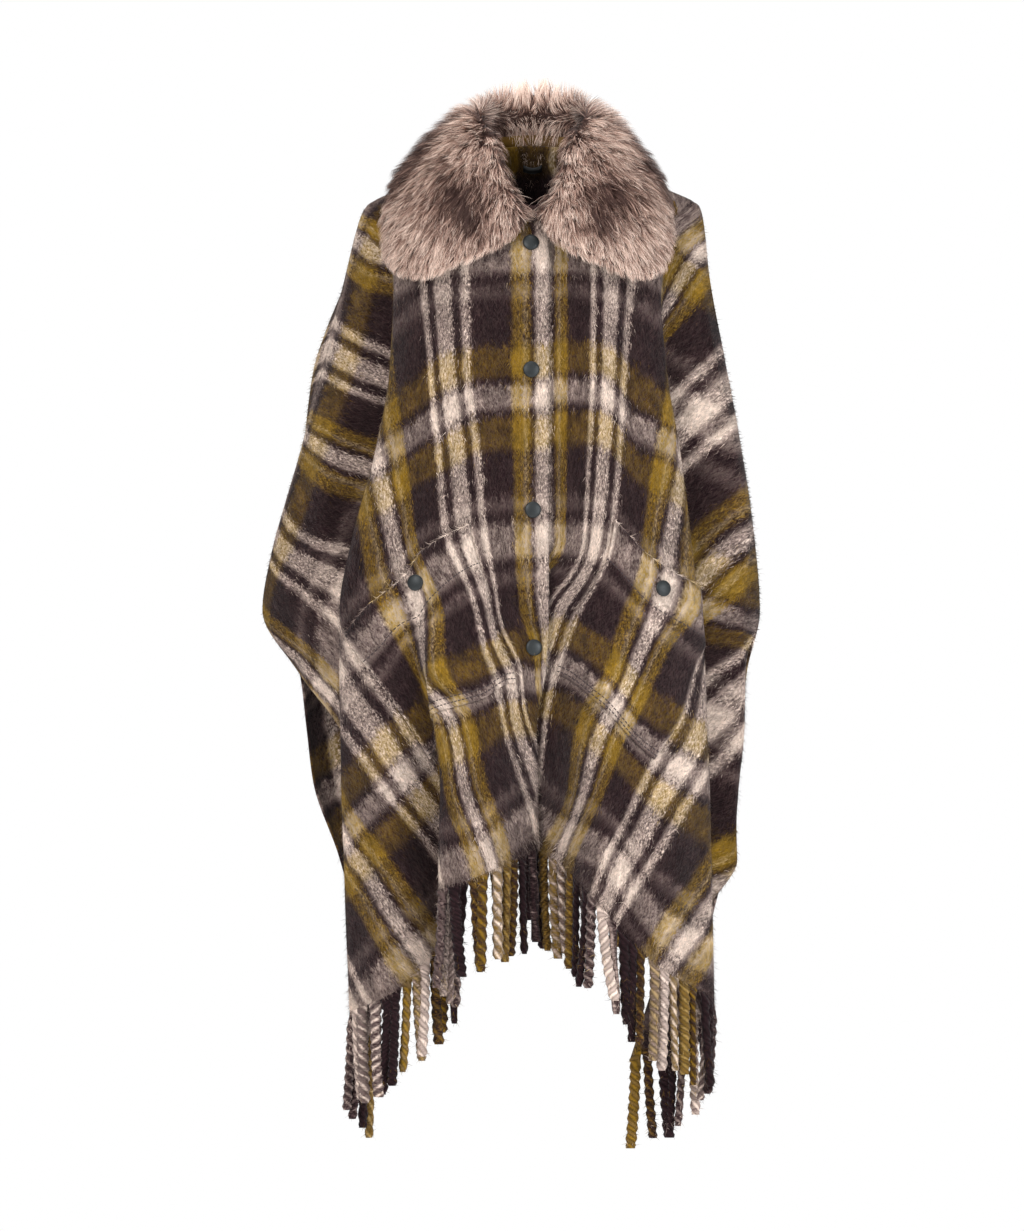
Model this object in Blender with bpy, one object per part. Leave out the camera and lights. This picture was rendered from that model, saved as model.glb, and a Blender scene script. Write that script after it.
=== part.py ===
"""Plaid blanket cape with a fur collar, in its worn shape, as thin walls skinned over fold lines."""
import math

import bmesh
import bpy
from mathutils import Vector
from mathutils.bvhtree import BVHTree

# Driving sizes, in millimetres
MM = 0.001
WALL = 2.6
SEAM_GAP = 0.3
POCKET_WALL = 2.2
POCKET_GAP = 0.5
COLLAR_GAP = 4.6
SNAP_RADIUS = 9.4
SNAP_HEIGHT = 4.0
SNAP_GAP = 1.2
POCKET_SNAP_LIFT = 0.9
SNAP_SIDES = 16
STRIP_HEIGHT = 5.0
STRIP_DROP = 0.8
STRAND_PITCH = 17.0
STRAND_WIDTH = 11.0
SHARP_BEND = 0.7
STRAND_THICK = 9.0
STRAND_TIP = 7.5
STRAND_LENGTH = 112.0
STRAND_SWELL = 14.0
LOOP_WIDTH = 22.0
LOOP_HEIGHT = 9.0
LOOP_THICK = 1.4
LOOP_LEVEL = 4.0
LOOP_GAP = 2.4

# Small steps, in fold positions and millimetres, for reading directions off a panel and searching along it
PLACE_STEP = 0.02
HEIGHT_STEP = 1.5
SEARCH_STEP = 0.01

# Columns: height, then (out from the centre, depth) of each fold line; front is minus depth
FRONT_RIGHT_FOLDS = ("edge", "crest", "fold", "tuck", "turn", "outer", "side", "dip", "sleeve", "arm")
FRONT_RIGHT = (
    (10, (62, -22), (66, -18), (70, -13), (73, -9), (74.5, -7.5),
     (76, -6), (78, -4), (80, -2), (82, 0), (84, 2)),
    (-20, (52, -54), (74, -53), (94, -45), (108, -36), (114, -31),
     (121, -26), (130, -15), (135, -9), (139, -4), (142, 2)),
    (-46, (30, -78), (66, -82), (98, -74), (119, -63), (131, -56),
     (143, -48), (160, -29), (170, -19), (182, -9), (193, 2)),
    (-72, (-18, -95), (50, -99), (97, -88), (120, -76), (134, -68),
     (145, -59), (159, -41), (168, -29), (190, -15), (203, 2)),
    (-121, (-18, -113), (50, -117), (98, -105), (122, -94), (135, -87),
     (145, -79), (159, -60), (161, -45), (193, -28), (215, 2)),
    (-236, (-18, -133), (50, -138), (104, -129), (126, -121), (139, -115),
     (151, -106), (164, -83), (151, -52), (208, -43), (243, 2)),
    (-328, (-18, -143), (52, -149), (108, -141), (131, -133), (146, -127),
     (161, -119), (180, -94), (160, -54), (228, -48), (268, 2)),
    (-431, (-18, -150), (55, -159), (112, -153), (134, -145), (152, -140),
     (172, -132), (207, -103), (187, -62), (250, -50), (297, 2)),
    (-512, (-18, -156), (57, -168), (115, -163), (130, -153), (148, -147),
     (174, -142), (221, -109), (213, -82), (266, -52), (312, 2)),
    (-582, (-14, -162), (58, -180), (118, -171), (120, -157), (132, -146),
     (172, -148), (221, -113), (218, -97), (246, -72), (270, -40)),
    (-646, (-4, -160), (60, -192), (112, -178), (104, -156), (116, -140),
     (168, -152), (220, -116), (215, -101), (218, -92), (222, -82)),
    (-712, (-5, -152), (61, -202), (105, -184), (94, -152), (108, -134),
     (166, -155), (219, -118), (209, -99), (200, -84), (188, -70)),
    (-800, (-6, -142), (60, -210), (107, -189), (89, -148), (104, -128),
     (165, -158), (216, -120), (205, -99), (192, -81), (176, -64)),
    (-900, (-6, -137), (58, -214), (107, -192), (87, -146), (102, -125),
     (165, -160), (213, -121), (204, -101), (194, -84), (182, -66)),
    (-1010, (-6, -135), (57, -216), (107, -194), (86, -145), (101, -124),
     (164, -161), (207, -121), (201, -103), (194, -86), (186, -68)),
)
FRONT_RIGHT_HEM = (-784, -814, -834, -862, -884, -952, -974, -985, -996, -1008)
FRONT_RIGHT_STEPS = (3, 3, 2, 2, 3, 3, 3, 3, 3)

FRONT_LEFT_FOLDS = ("edge", "lap", "crest", "middle", "side", "dip", "sleeve", "arm")
FRONT_LEFT = (
    (10, (62, -22), (66, -18), (70, -13), (74, -9), (77, -5), (79, -3), (82, -1), (84, 2)),
    (-20, (52, -50), (70, -50), (88, -44), (108, -35), (126, -18), (133, -10), (138, -4), (142, 2)),
    (-46, (30, -72), (58, -76), (88, -72), (116, -60), (152, -32), (167, -19), (181, -9), (193, 2)),
    (-72, (-22, -88), (26, -89), (70, -94), (108, -80), (146, -46), (158, -30), (188, -14), (198, 2)),
    (-121, (-22, -106), (26, -107), (72, -112), (110, -98), (145, -66), (150, -46), (194, -24), (203, 2)),
    (-236, (-22, -126), (26, -127), (74, -134), (116, -121), (153, -86), (145, -56), (217, -34), (224, 2)),
    (-328, (-22, -136), (26, -137), (76, -146), (122, -134), (168, -96), (153, -58), (233, -38), (238, 2)),
    (-431, (-22, -142), (26, -144), (78, -158), (130, -147), (181, -103), (166, -61), (247, -40), (256, 2)),
    (-512, (-22, -147), (26, -150), (80, -168), (134, -158), (190, -107), (175, -64), (246, -42), (262, 2)),
    (-582, (-18, -152), (26, -155), (80, -182), (137, -168), (197, -112), (182, -67), (244, -45), (240, 16)),
    (-646, (-6, -149), (26, -156), (80, -194), (140, -177), (199, -116), (186, -69), (241, -47), (226, 14)),
    (-712, (-5, -134), (28, -160), (80, -204), (142, -184), (202, -120), (189, -72), (236, -50), (218, 0)),
    (-800, (-5, -116), (30, -156), (80, -214), (143, -191), (204, -124), (191, -78), (236, -58), (214, -32)),
    (-850, (-5, -110), (30, -154), (80, -218), (143, -194), (205, -126), (193, -92), (203, -82), (190, -70)),
    (-900, (-5, -108), (30, -152), (80, -221), (143, -196), (206, -127), (191, -95), (176, -80), (158, -66)),
    (-1040, (-5, -106), (30, -150), (80, -226), (144, -200), (208, -130), (184, -97), (150, -78), (110, -60)),
)
FRONT_LEFT_HEM = (-782, -800, -852, -918, -960, -980, -1003, -1029)
FRONT_LEFT_STEPS = (2, 3, 3, 4, 3, 4, 3)

BACK_FOLDS = ("arm", "sleeve", "dip", "lobe", "hollow", "centre")
BACK_RIGHT = (
    (30, (60, 8), (58, 14), (54, 24), (46, 36), (26, 48), (0, 54)),
    (10, (84, 2), (80, 12), (73, 26), (60, 40), (34, 54), (0, 62)),
    (-20, (142, 2), (136, 14), (124, 27), (106, 46), (72, 62), (0, 76)),
    (-46, (193, 2), (180, 15), (156, 32), (122, 58), (80, 74), (0, 87)),
    (-72, (203, 2), (196, 18), (166, 42), (128, 72), (84, 88), (0, 98)),
    (-121, (215, 2), (212, 24), (170, 54), (132, 92), (84, 106), (0, 113)),
    (-236, (243, 2), (254, 26), (176, 66), (140, 114), (84, 124), (0, 132)),
    (-328, (268, 2), (264, 38), (182, 72), (146, 127), (82, 132), (0, 142)),
    (-431, (297, 2), (268, 54), (186, 80), (152, 140), (80, 138), (0, 152)),
    (-512, (312, 2), (276, 60), (190, 88), (155, 151), (78, 143), (0, 161)),
    (-582, (270, 34), (248, 72), (188, 94), (156, 161), (77, 147), (0, 169)),
    (-646, (262, 48), (238, 82), (186, 100), (156, 170), (76, 151), (0, 177)),
    (-712, (254, 60), (228, 92), (182, 106), (155, 178), (76, 154), (0, 185)),
    (-800, (224, 80), (208, 102), (178, 114), (153, 187), (75, 158), (0, 194)),
    (-900, (200, 96), (190, 110), (174, 122), (151, 195), (75, 162), (0, 203)),
    (-960, (196, 98), (186, 113), (172, 126), (150, 198), (75, 164), (0, 207)),
)
BACK_LEFT = (
    (30, (60, 8), (58, 14), (54, 24), (46, 36), (26, 48)),
    (10, (84, 2), (80, 12), (73, 26), (60, 40), (34, 54)),
    (-20, (142, 2), (136, 14), (124, 27), (106, 46), (72, 62)),
    (-46, (193, 2), (180, 15), (156, 32), (122, 58), (80, 74)),
    (-72, (198, 2), (188, 20), (164, 42), (128, 72), (84, 88)),
    (-121, (203, 2), (196, 30), (168, 54), (132, 92), (84, 106)),
    (-236, (224, 2), (214, 42), (172, 66), (140, 114), (84, 124)),
    (-328, (238, 2), (228, 48), (176, 72), (147, 127), (82, 132)),
    (-431, (256, 2), (243, 54), (182, 80), (154, 141), (80, 138)),
    (-512, (262, 2), (246, 60), (186, 88), (158, 153), (78, 143)),
    (-582, (248, 46), (236, 76), (186, 96), (160, 164), (77, 147)),
    (-646, (241, 56), (228, 86), (184, 103), (161, 174), (76, 151)),
    (-712, (234, 66), (220, 94), (182, 110), (161, 182), (76, 154)),
    (-800, (224, 80), (208, 104), (178, 118), (160, 191), (75, 158)),
    (-900, (202, 96), (190, 112), (174, 124), (158, 198), (75, 162)),
    (-960, (194, 100), (184, 116), (172, 128), (157, 201), (75, 164)),
)
BACK_TOP = (10, 12, 16, 21, 26, 28, 26, 21, 16, 12, 10)
BACK_HEM = (-912, -895, -868, -825, -782, -765, -784, -830, -875, -905, -930)
BACK_STEPS = (3, 3, 3, 3, 3, 3, 3, 3, 3, 3)
FRONT_TOP = 10

# Shares of the way from top edge to hem at which the walls have a row
FRONT_ROWS = (0, 0.025, 0.05, 0.077, 0.103, 0.15, 0.2, 0.25, 0.3, 0.35, 0.4, 0.45, 0.513,
              0.56, 0.61, 0.665, 0.72, 0.765, 0.81, 0.86, 0.91, 0.955, 1.0)
BACK_ROWS = (0, 0.03, 0.07, 0.11, 0.15, 0.2, 0.25, 0.3, 0.35, 0.4, 0.45, 0.5, 0.566,
             0.61, 0.65, 0.7, 0.75, 0.8, 0.85, 0.9, 0.95, 1.0)

# Pocket patches as (first, last) fold position and (first, last) row share of their front
POCKET_RIGHT_PLACE = ((2 / 3, 5 + 2 / 3), (0.513, 0.72))
POCKET_LEFT_PLACE = ((1.0, 3.75), (0.513, 0.72))

# Snap centres as (out from the centre, height) on their front
FRONT_SNAPS = ((2, -90), (2, -236), (0, -397), (-1, -555))
POCKET_RIGHT_SNAP = (132, -481)
POCKET_LEFT_SNAP = (145, -488)

# Collar stations from the front end to the centre back: root, roll and outer edge, each (out, depth, height),
# then how far the fur stands out between roll and edge
COLLAR_HALF = (
    ((4, -99, -64), (5, -109, -53), (12, -114, -72), 3),
    ((16, -94, -56), (13, -108, -36), (44, -124, -94), 12),
    ((33, -84, -43), (20, -96, -14), (90, -120, -110), 18),
    ((47, -70, -28), (27, -80, 10), (120, -112, -124), 22),
    ((56, -54, -14), (33, -62, 32), (152, -92, -120), 26),
    ((64, -38, 0), (38, -44, 50), (168, -60, -90), 28),
    ((79, -22, 12), (44, -24, 60), (166, -38, -60), 24),
    ((88, 2, 18), (48, 0, 70), (157, -2, -13), 22),
    ((86, 20, 20), (48, 30, 80), (150, 44, -24), 23),
    ((66, 42, 26), (42, 58, 88), (122, 86, -38), 24),
    ((36, 59, 31), (24, 72, 95), (66, 108, -50), 26),
    ((0, 66, 33), (0, 76, 98), (0, 118, -54), 26),
)
COLLAR_EDGE = 9.0
CROWN_SHARES = ((0.2, 0.8), (0.5, 1.0), (0.8, 0.75))
UNDER_SHARES = (0.86, 0.72, 0.58, 0.44, 0.3, 0.15)
COLLAR_STEPS = 2
COLLAR_LEFT = 0.93
COLLAR_FORWARD = 7.0

WOOL = (0.16, 0.13, 0.07, 1.0)
FUR = (0.36, 0.26, 0.21, 1.0)
METAL = (0.05, 0.055, 0.06, 1.0)
RIBBON = (0.03, 0.025, 0.03, 1.0)


def clear_scene():
    for thing in list(bpy.data.objects):
        bpy.data.objects.remove(thing, do_unlink=True)


def material(name, colour, roughness, metallic=0.0):
    made = bpy.data.materials.new(name)
    made.use_nodes = True
    shader = made.node_tree.nodes["Principled BSDF"]
    shader.inputs["Base Color"].default_value = colour
    shader.inputs["Roughness"].default_value = roughness
    shader.inputs["Metallic"].default_value = metallic
    return made


def knot_slopes(knots, values):
    """Slopes of a smooth curve through the values that never swings past them."""
    steps = [(b - a) / (q - p) for a, b, p, q in zip(values, values[1:], knots, knots[1:])]
    inner = []
    for before, after in zip(steps, steps[1:]):
        meet = before * after
        inner.append(2 * meet / (before + after) if meet > 0 else 0.0)
    return [steps[0]] + inner + [steps[-1]]


def smooth(knots, values, slopes, at):
    """Value of the smooth curve at one place; straight on beyond its ends."""
    last = len(knots) - 1
    if at <= knots[0]:
        return values[0] + slopes[0] * (at - knots[0])
    if at >= knots[last]:
        return values[last] + slopes[last] * (at - knots[last])
    i = 0
    while knots[i + 1] < at:
        i += 1
    span = knots[i + 1] - knots[i]
    t = (at - knots[i]) / span
    rise = t * t * (3 - 2 * t)
    start = t * (1 - t) * (1 - t) * span
    end = t * t * (t - 1) * span
    return values[i] * (1 - rise) + values[i + 1] * rise + slopes[i] * start + slopes[i + 1] * end


class FoldLine:
    """One fold line: its place across and in depth by height."""

    def __init__(self, table, column, side):
        rows = sorted((row[0], row[1 + column]) for row in table)
        self.heights = [row[0] for row in rows]
        self.across = [side * row[1][0] for row in rows]
        self.depth = [row[1][1] for row in rows]
        self.across_slopes = knot_slopes(self.heights, self.across)
        self.depth_slopes = knot_slopes(self.heights, self.depth)

    def at(self, height):
        x = smooth(self.heights, self.across, self.across_slopes, height)
        y = smooth(self.heights, self.depth, self.depth_slopes, height)
        return x, y


class Panel:
    """A cloth panel skinned over fold lines, with a neighbour's line to round the shared arm seam."""

    def __init__(self, lines, before, after, tops, hems, steps, rows, turn):
        self.lines = lines
        self.before = before
        self.after = after
        self.places = list(range(len(lines)))
        self.tops = tops
        self.top_slopes = knot_slopes(self.places, tops)
        self.hems = hems
        self.hem_slopes = knot_slopes(self.places, hems)
        self.rows = rows
        self.turn = turn
        self.columns = [0.0]
        for i, count in enumerate(steps):
            self.columns += [i + (k + 1) / count for k in range(count)]

    def height(self, place, share):
        top = smooth(self.places, self.tops, self.top_slopes, place)
        hem = smooth(self.places, self.hems, self.hem_slopes, place)
        return top + (hem - top) * share

    def spot(self, place, height):
        lines = ([self.before] if self.before else []) + self.lines + ([self.after] if self.after else [])
        shift = 1 if self.before else 0
        knots = [i - shift for i in range(len(lines))]
        points = [line.at(height) for line in lines]
        across = [p[0] for p in points]
        depth = [p[1] for p in points]
        x = smooth(knots, across, knot_slopes(knots, across), place)
        y = smooth(knots, depth, knot_slopes(knots, depth), place)
        return Vector((x, y, height))

    def normal(self, place, height):
        low = max(0.0, place - PLACE_STEP)
        high = min(float(self.places[-1]), place + PLACE_STEP)
        along = self.spot(high, height) - self.spot(low, height)
        up = self.spot(place, height + HEIGHT_STEP) - self.spot(place, height - HEIGHT_STEP)
        return (along.cross(up) * self.turn).normalized()

    def place_of(self, out, height, side, last):
        """Fold position whose distance out from the centre is as asked, from the front edge on."""
        place = 0.0
        while place < last and side * self.spot(place, height).x < out:
            place += SEARCH_STEP
        return place


def add_mesh(name, points, faces, look, smooth_shade=True):
    """A closed mesh from millimetre points, with its faces turned outwards."""
    mesh = bpy.data.meshes.new(name)
    mesh.from_pydata([Vector(p) * MM for p in points], [], faces)
    work = bmesh.new()
    work.from_mesh(mesh)
    bmesh.ops.recalc_face_normals(work, faces=work.faces)
    bmesh.ops.triangulate(work, faces=work.faces)
    work.to_mesh(mesh)
    work.free()
    thing = bpy.data.objects.new(name, mesh)
    bpy.context.scene.collection.objects.link(thing)
    mesh.materials.append(look)
    for face in mesh.polygons:
        face.use_smooth = smooth_shade
    return thing


def slab(outer, inner):
    """Points and faces of a thin wall between two grids of the same layout."""
    rows = len(outer)
    columns = len(outer[0])
    points = [p for row in outer for p in row] + [p for row in inner for p in row]
    below = rows * columns

    def index(r, c):
        return r * columns + c

    faces = []
    for r in range(rows - 1):
        for c in range(columns - 1):
            quad = (index(r, c), index(r, c + 1), index(r + 1, c + 1), index(r + 1, c))
            faces.append(quad)
            faces.append(tuple(below + i for i in reversed(quad)))
    rim = [index(0, c) for c in range(columns)]
    rim += [index(r, columns - 1) for r in range(1, rows)]
    rim += [index(rows - 1, c) for c in range(columns - 2, -1, -1)]
    rim += [index(r, 0) for r in range(rows - 2, 0, -1)]
    for a, b in zip(rim, rim[1:] + rim[:1]):
        faces.append((b, a, below + a, below + b))
    return points, faces


def seam_shift(panel, column, columns):
    """Half the seam's gap, taken off a panel where it meets its neighbour along the arm."""
    half = SEAM_GAP / 2
    if column == columns - 1 and panel.after:
        return half if panel.before else -half
    if column == 0 and panel.before:
        return half
    return 0.0


def wall_grids(panel):
    """Middle points and normals of a panel at its rows and columns."""
    middles = []
    normals = []
    count = len(panel.columns)
    for share in panel.rows:
        row = []
        turns = []
        for c, place in enumerate(panel.columns):
            height = panel.height(place, share)
            spot = panel.spot(place, height)
            spot.y += seam_shift(panel, c, count)
            row.append(spot)
            turns.append(panel.normal(place, height))
        middles.append(row)
        normals.append(turns)
    return middles, normals


def moved(middles, normals, distance):
    return [[p + n * distance for p, n in zip(row, turns)] for row, turns in zip(middles, normals)]


def make_panel(name, panel, look):
    middles, normals = wall_grids(panel)
    points, faces = slab(moved(middles, normals, WALL / 2), moved(middles, normals, -WALL / 2))
    add_mesh(name, points, faces, look)
    return middles, normals


def make_pocket(name, panel, grids, place, look):
    """A patch made from its front's own points, moved out."""
    middles, normals = grids
    (first, last), (top, bottom) = place
    slack = 1e-6
    columns = [i for i, c in enumerate(panel.columns) if first - slack <= c <= last + slack]
    rows = [i for i, r in enumerate(panel.rows) if top - slack <= r <= bottom + slack]
    part = [[middles[r][c] for c in columns] for r in rows]
    turns = [[normals[r][c] for c in columns] for r in rows]
    base = WALL / 2 + POCKET_GAP
    points, faces = slab(moved(part, turns, base + POCKET_WALL), moved(part, turns, base))
    add_mesh(name, points, faces, look)


def make_snap(name, panel, side, centre, lift, last, look):
    """A domed cap standing on the cloth at a place given across and in height."""
    out, height = centre
    place = panel.place_of(out, height, side, last)
    normal = panel.normal(place, height)
    base = panel.spot(place, height) + normal * (lift + SNAP_GAP)
    across = normal.cross(Vector((0, 0, 1))).normalized()
    up = across.cross(normal)
    rings = ((1.0, 0.0), (1.0, 0.45), (0.72, 0.88))
    points = []
    for radius, rise in rings:
        for k in range(SNAP_SIDES):
            angle = 2 * math.pi * k / SNAP_SIDES
            spread = (across * math.cos(angle) + up * math.sin(angle)) * (SNAP_RADIUS * radius)
            points.append(base + spread + normal * (SNAP_HEIGHT * rise))
    points.append(base + normal * SNAP_HEIGHT)
    crown = len(points) - 1
    faces = [tuple(range(SNAP_SIDES))]
    for ring in range(len(rings) - 1):
        for k in range(SNAP_SIDES):
            a = ring * SNAP_SIDES + k
            b = ring * SNAP_SIDES + (k + 1) % SNAP_SIDES
            faces.append((a, b, b + SNAP_SIDES, a + SNAP_SIDES))
    top = (len(rings) - 1) * SNAP_SIDES
    for k in range(SNAP_SIDES):
        faces.append((top + k, top + (k + 1) % SNAP_SIDES, crown))
    add_mesh(name, points, faces, look)


def hem_bend(hem, turns, k):
    """How sharply the hem turns towards its outer side at one of its points."""
    if k in (0, len(hem) - 1):
        return 0.0
    before = (hem[k] - hem[k - 1]).normalized()
    after = (hem[k + 1] - hem[k]).normalized()
    return (after - before).dot(turns[k])


def hem_stops(hem, turns):
    """Points along a hem with the wall's direction there, and the pairs of them that hold a strand."""
    lengths = [0.0]
    for a, b in zip(hem, hem[1:]):
        lengths.append(lengths[-1] + (b - a).length)
    sharp = [lengths[k] for k in range(len(hem)) if hem_bend(hem, turns, k) > SHARP_BEND]
    count = int(lengths[-1] // STRAND_PITCH)
    pitch = lengths[-1] / count
    spans = []
    for k in range(count):
        middle = (k + 0.5) * pitch
        if all(abs(middle - place) > STRAND_PITCH for place in sharp):
            spans.append((middle - STRAND_WIDTH / 2, middle + STRAND_WIDTH / 2))
    marks = sorted(lengths + [end for span in spans for end in span])
    stops = []
    for mark in marks:
        i = 0
        while i < len(hem) - 2 and lengths[i + 1] < mark:
            i += 1
        share = (mark - lengths[i]) / (lengths[i + 1] - lengths[i])
        stops.append((hem[i].lerp(hem[i + 1], share), turns[i].lerp(turns[i + 1], share)))
    return stops, [(marks.index(start), marks.index(end)) for start, end in spans]


def strand_ring(centre, turn, along, drop, width, thick):
    """Four corners of a strand at a level below its root."""
    level = centre + Vector((0, 0, -drop))
    out = turn * (thick / 2)
    side = along * (width / 2)
    return [level + out - side, level + out + side, level - out + side, level - out - side]


def make_fringe(name, hem, turns, look):
    """Strands hanging from a narrow strip that follows the hem just below it."""
    stops, spans = hem_stops(hem, turns)
    down = Vector((0, 0, -1))
    points = []
    for point, turn in stops:
        top = point + down * STRIP_DROP
        low = top + down * STRIP_HEIGHT
        half = turn * (WALL / 2)
        points += [top + half, top - half, low + half, low - half]
    held = {k for start, end in spans for k in range(start, end)}
    faces = []
    for k in range(len(stops) - 1):
        a = k * 4
        b = a + 4
        faces += [(a, b, b + 1, a + 1), (a, a + 2, b + 2, b), (a + 1, b + 1, b + 3, a + 3)]
        if k not in held:
            faces.append((a + 2, a + 3, b + 3, b + 2))
    for start, end in spans:
        outer = [k * 4 + 2 for k in range(start, end + 1)]
        inner = [k * 4 + 3 for k in range(start, end + 1)]
        centre = (points[outer[0]] + points[inner[0]] + points[outer[-1]] + points[inner[-1]]) / 4
        turn = stops[start][1] + stops[end][1]
        turn.z = 0
        turn.normalize()
        along = Vector((0, 0, 1)).cross(turn)
        run = (points[outer[-1]] - points[outer[0]]).dot(along)
        along = along if run > 0 else -along
        first = len(points)
        points += strand_ring(centre, turn, along, STRAND_SWELL, min(STRAND_WIDTH, abs(run)), STRAND_THICK)
        points += strand_ring(centre, turn, along, STRAND_LENGTH, STRAND_TIP, STRAND_TIP)
        faces.append(tuple(outer) + (first + 1, first))
        faces.append(tuple(inner) + (first + 2, first + 3))
        faces.append((outer[0], inner[0], first + 3, first))
        faces.append((outer[-1], inner[-1], first + 2, first + 1))
        for i in range(4):
            j = (i + 1) % 4
            faces.append((first + i, first + j, first + 4 + j, first + 4 + i))
        faces.append((first + 4, first + 5, first + 6, first + 7))
    end = (len(stops) - 1) * 4
    faces += [(0, 1, 3, 2), (end, end + 2, end + 3, end + 1)]
    add_mesh(name, points, faces, look)


class OuterFace:
    """The outer face of the three panels, to keep the collar clear of them."""

    def __init__(self, grids):
        points = []
        faces = []
        self.normals = []
        for middles, normals in grids:
            first = len(points)
            width = len(middles[0])
            for row in moved(middles, normals, WALL / 2):
                points += row
            for r in range(len(middles) - 1):
                for c in range(width - 1):
                    corner = first + r * width + c
                    faces.append((corner, corner + 1, corner + 1 + width, corner + width))
                    self.normals.append(normals[r][c])
        self.tree = BVHTree.FromPolygons(points, faces)

    def clear(self, point):
        """The point, moved out from the nearest face if it comes too near or lies behind it."""
        spot, normal, face, _ = self.tree.find_nearest(point)
        if normal.dot(self.normals[face]) < 0:
            normal = -normal
        off = (point - spot).dot(normal)
        return point if off >= COLLAR_GAP else point + normal * (COLLAR_GAP - off)


def collar_stations():
    """Root, roll, edge and stand of the collar all the way round, smoothed between the rows given."""
    rows = [sum((tuple(p) for p in row[:3]), ()) + (row[3],) for row in COLLAR_HALF]
    mirrored = [tuple(-v if i in (0, 3, 6) else v for i, v in enumerate(row)) for row in rows]
    narrow = []
    for row in rows:
        forward = COLLAR_FORWARD if row[7] < 0 else 0
        narrow.append(row[:6] + (row[6] * COLLAR_LEFT, row[7] - forward) + row[8:])
    whole = mirrored + narrow[-2::-1]
    knots = list(range(len(whole)))
    columns = list(zip(*whole))
    slopes = [knot_slopes(knots, column) for column in columns]
    stations = []
    for k in range((len(whole) - 1) * COLLAR_STEPS + 1):
        v = [smooth(knots, c, m, k / COLLAR_STEPS) for c, m in zip(columns, slopes)]
        stations.append((Vector(v[0:3]), Vector(v[3:6]), Vector(v[6:9]), v[9]))
    return stations


def collar_loop(station, outer_face):
    """Closed outline of the collar at one station: up from root to roll, over to the edge, back under."""
    root, roll, edge, stand = station
    fall = edge - roll
    hold = roll - root
    out = (hold - fall * (hold.dot(fall) / fall.length_squared)).normalized()
    tip = min(COLLAR_EDGE, stand / 2)
    under = edge - out * tip
    loop = [outer_face.clear(root), root.lerp(roll, 0.5), roll]
    for share, part in CROWN_SHARES:
        loop.append(roll.lerp(edge, share) + out * (stand * part))
    loop.append(edge + out * tip)
    loop.append(edge + fall.normalized() * tip)
    loop.append(outer_face.clear(under))
    for share in UNDER_SHARES:
        loop.append(outer_face.clear(root.lerp(under, share)))
    return loop


def make_collar(outer_face, look):
    loops = [collar_loop(station, outer_face) for station in collar_stations()]
    size = len(loops[0])
    points = [p for loop in loops for p in loop]
    faces = [tuple(range(size)), tuple(reversed(range(len(points) - size, len(points))))]
    for r in range(len(loops) - 1):
        for i in range(size):
            j = (i + 1) % size
            a = r * size
            faces.append((a + i, a + j, a + size + j, a + size + i))
    add_mesh("collar", points, faces, look)


def make_hanger(back, look):
    """A short ribbon on the inner side of the back neck."""
    middle = (len(back.lines) - 1) / 2
    spot = back.spot(middle, LOOP_LEVEL)
    normal = back.normal(middle, LOOP_LEVEL)
    side = Vector((1, 0, 0))
    up = side.cross(normal).normalized()
    if up.z < 0:
        up = -up
    near = spot - normal * (WALL / 2 + LOOP_GAP)
    points = []
    for depth in (0, LOOP_THICK):
        for x in (-0.5, 0.5):
            for z in (-0.5, 0.5):
                points.append(near - normal * depth + side * (x * LOOP_WIDTH) + up * (z * LOOP_HEIGHT))
    faces = [(0, 1, 3, 2), (4, 6, 7, 5), (0, 2, 6, 4), (1, 5, 7, 3), (0, 4, 5, 1), (2, 3, 7, 6)]
    add_mesh("hanger_loop", points, faces, look, smooth_shade=False)


def make_panels():
    right_lines = [FoldLine(FRONT_RIGHT, i, -1) for i in range(len(FRONT_RIGHT_FOLDS))]
    left_lines = [FoldLine(FRONT_LEFT, i, 1) for i in range(len(FRONT_LEFT_FOLDS))]
    back_lines = [FoldLine(BACK_RIGHT, i, -1) for i in range(len(BACK_FOLDS))]
    back_lines += [FoldLine(BACK_LEFT, i, 1) for i in range(len(BACK_FOLDS) - 2, -1, -1)]
    right = Panel(right_lines, None, back_lines[1], [FRONT_TOP] * len(right_lines), FRONT_RIGHT_HEM,
                  FRONT_RIGHT_STEPS, FRONT_ROWS, -1)
    left = Panel(left_lines, None, back_lines[-2], [FRONT_TOP] * len(left_lines), FRONT_LEFT_HEM,
                 FRONT_LEFT_STEPS, FRONT_ROWS, 1)
    back = Panel(back_lines, right_lines[-2], left_lines[-2], BACK_TOP, BACK_HEM, BACK_STEPS, BACK_ROWS, -1)
    return right, left, back


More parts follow.
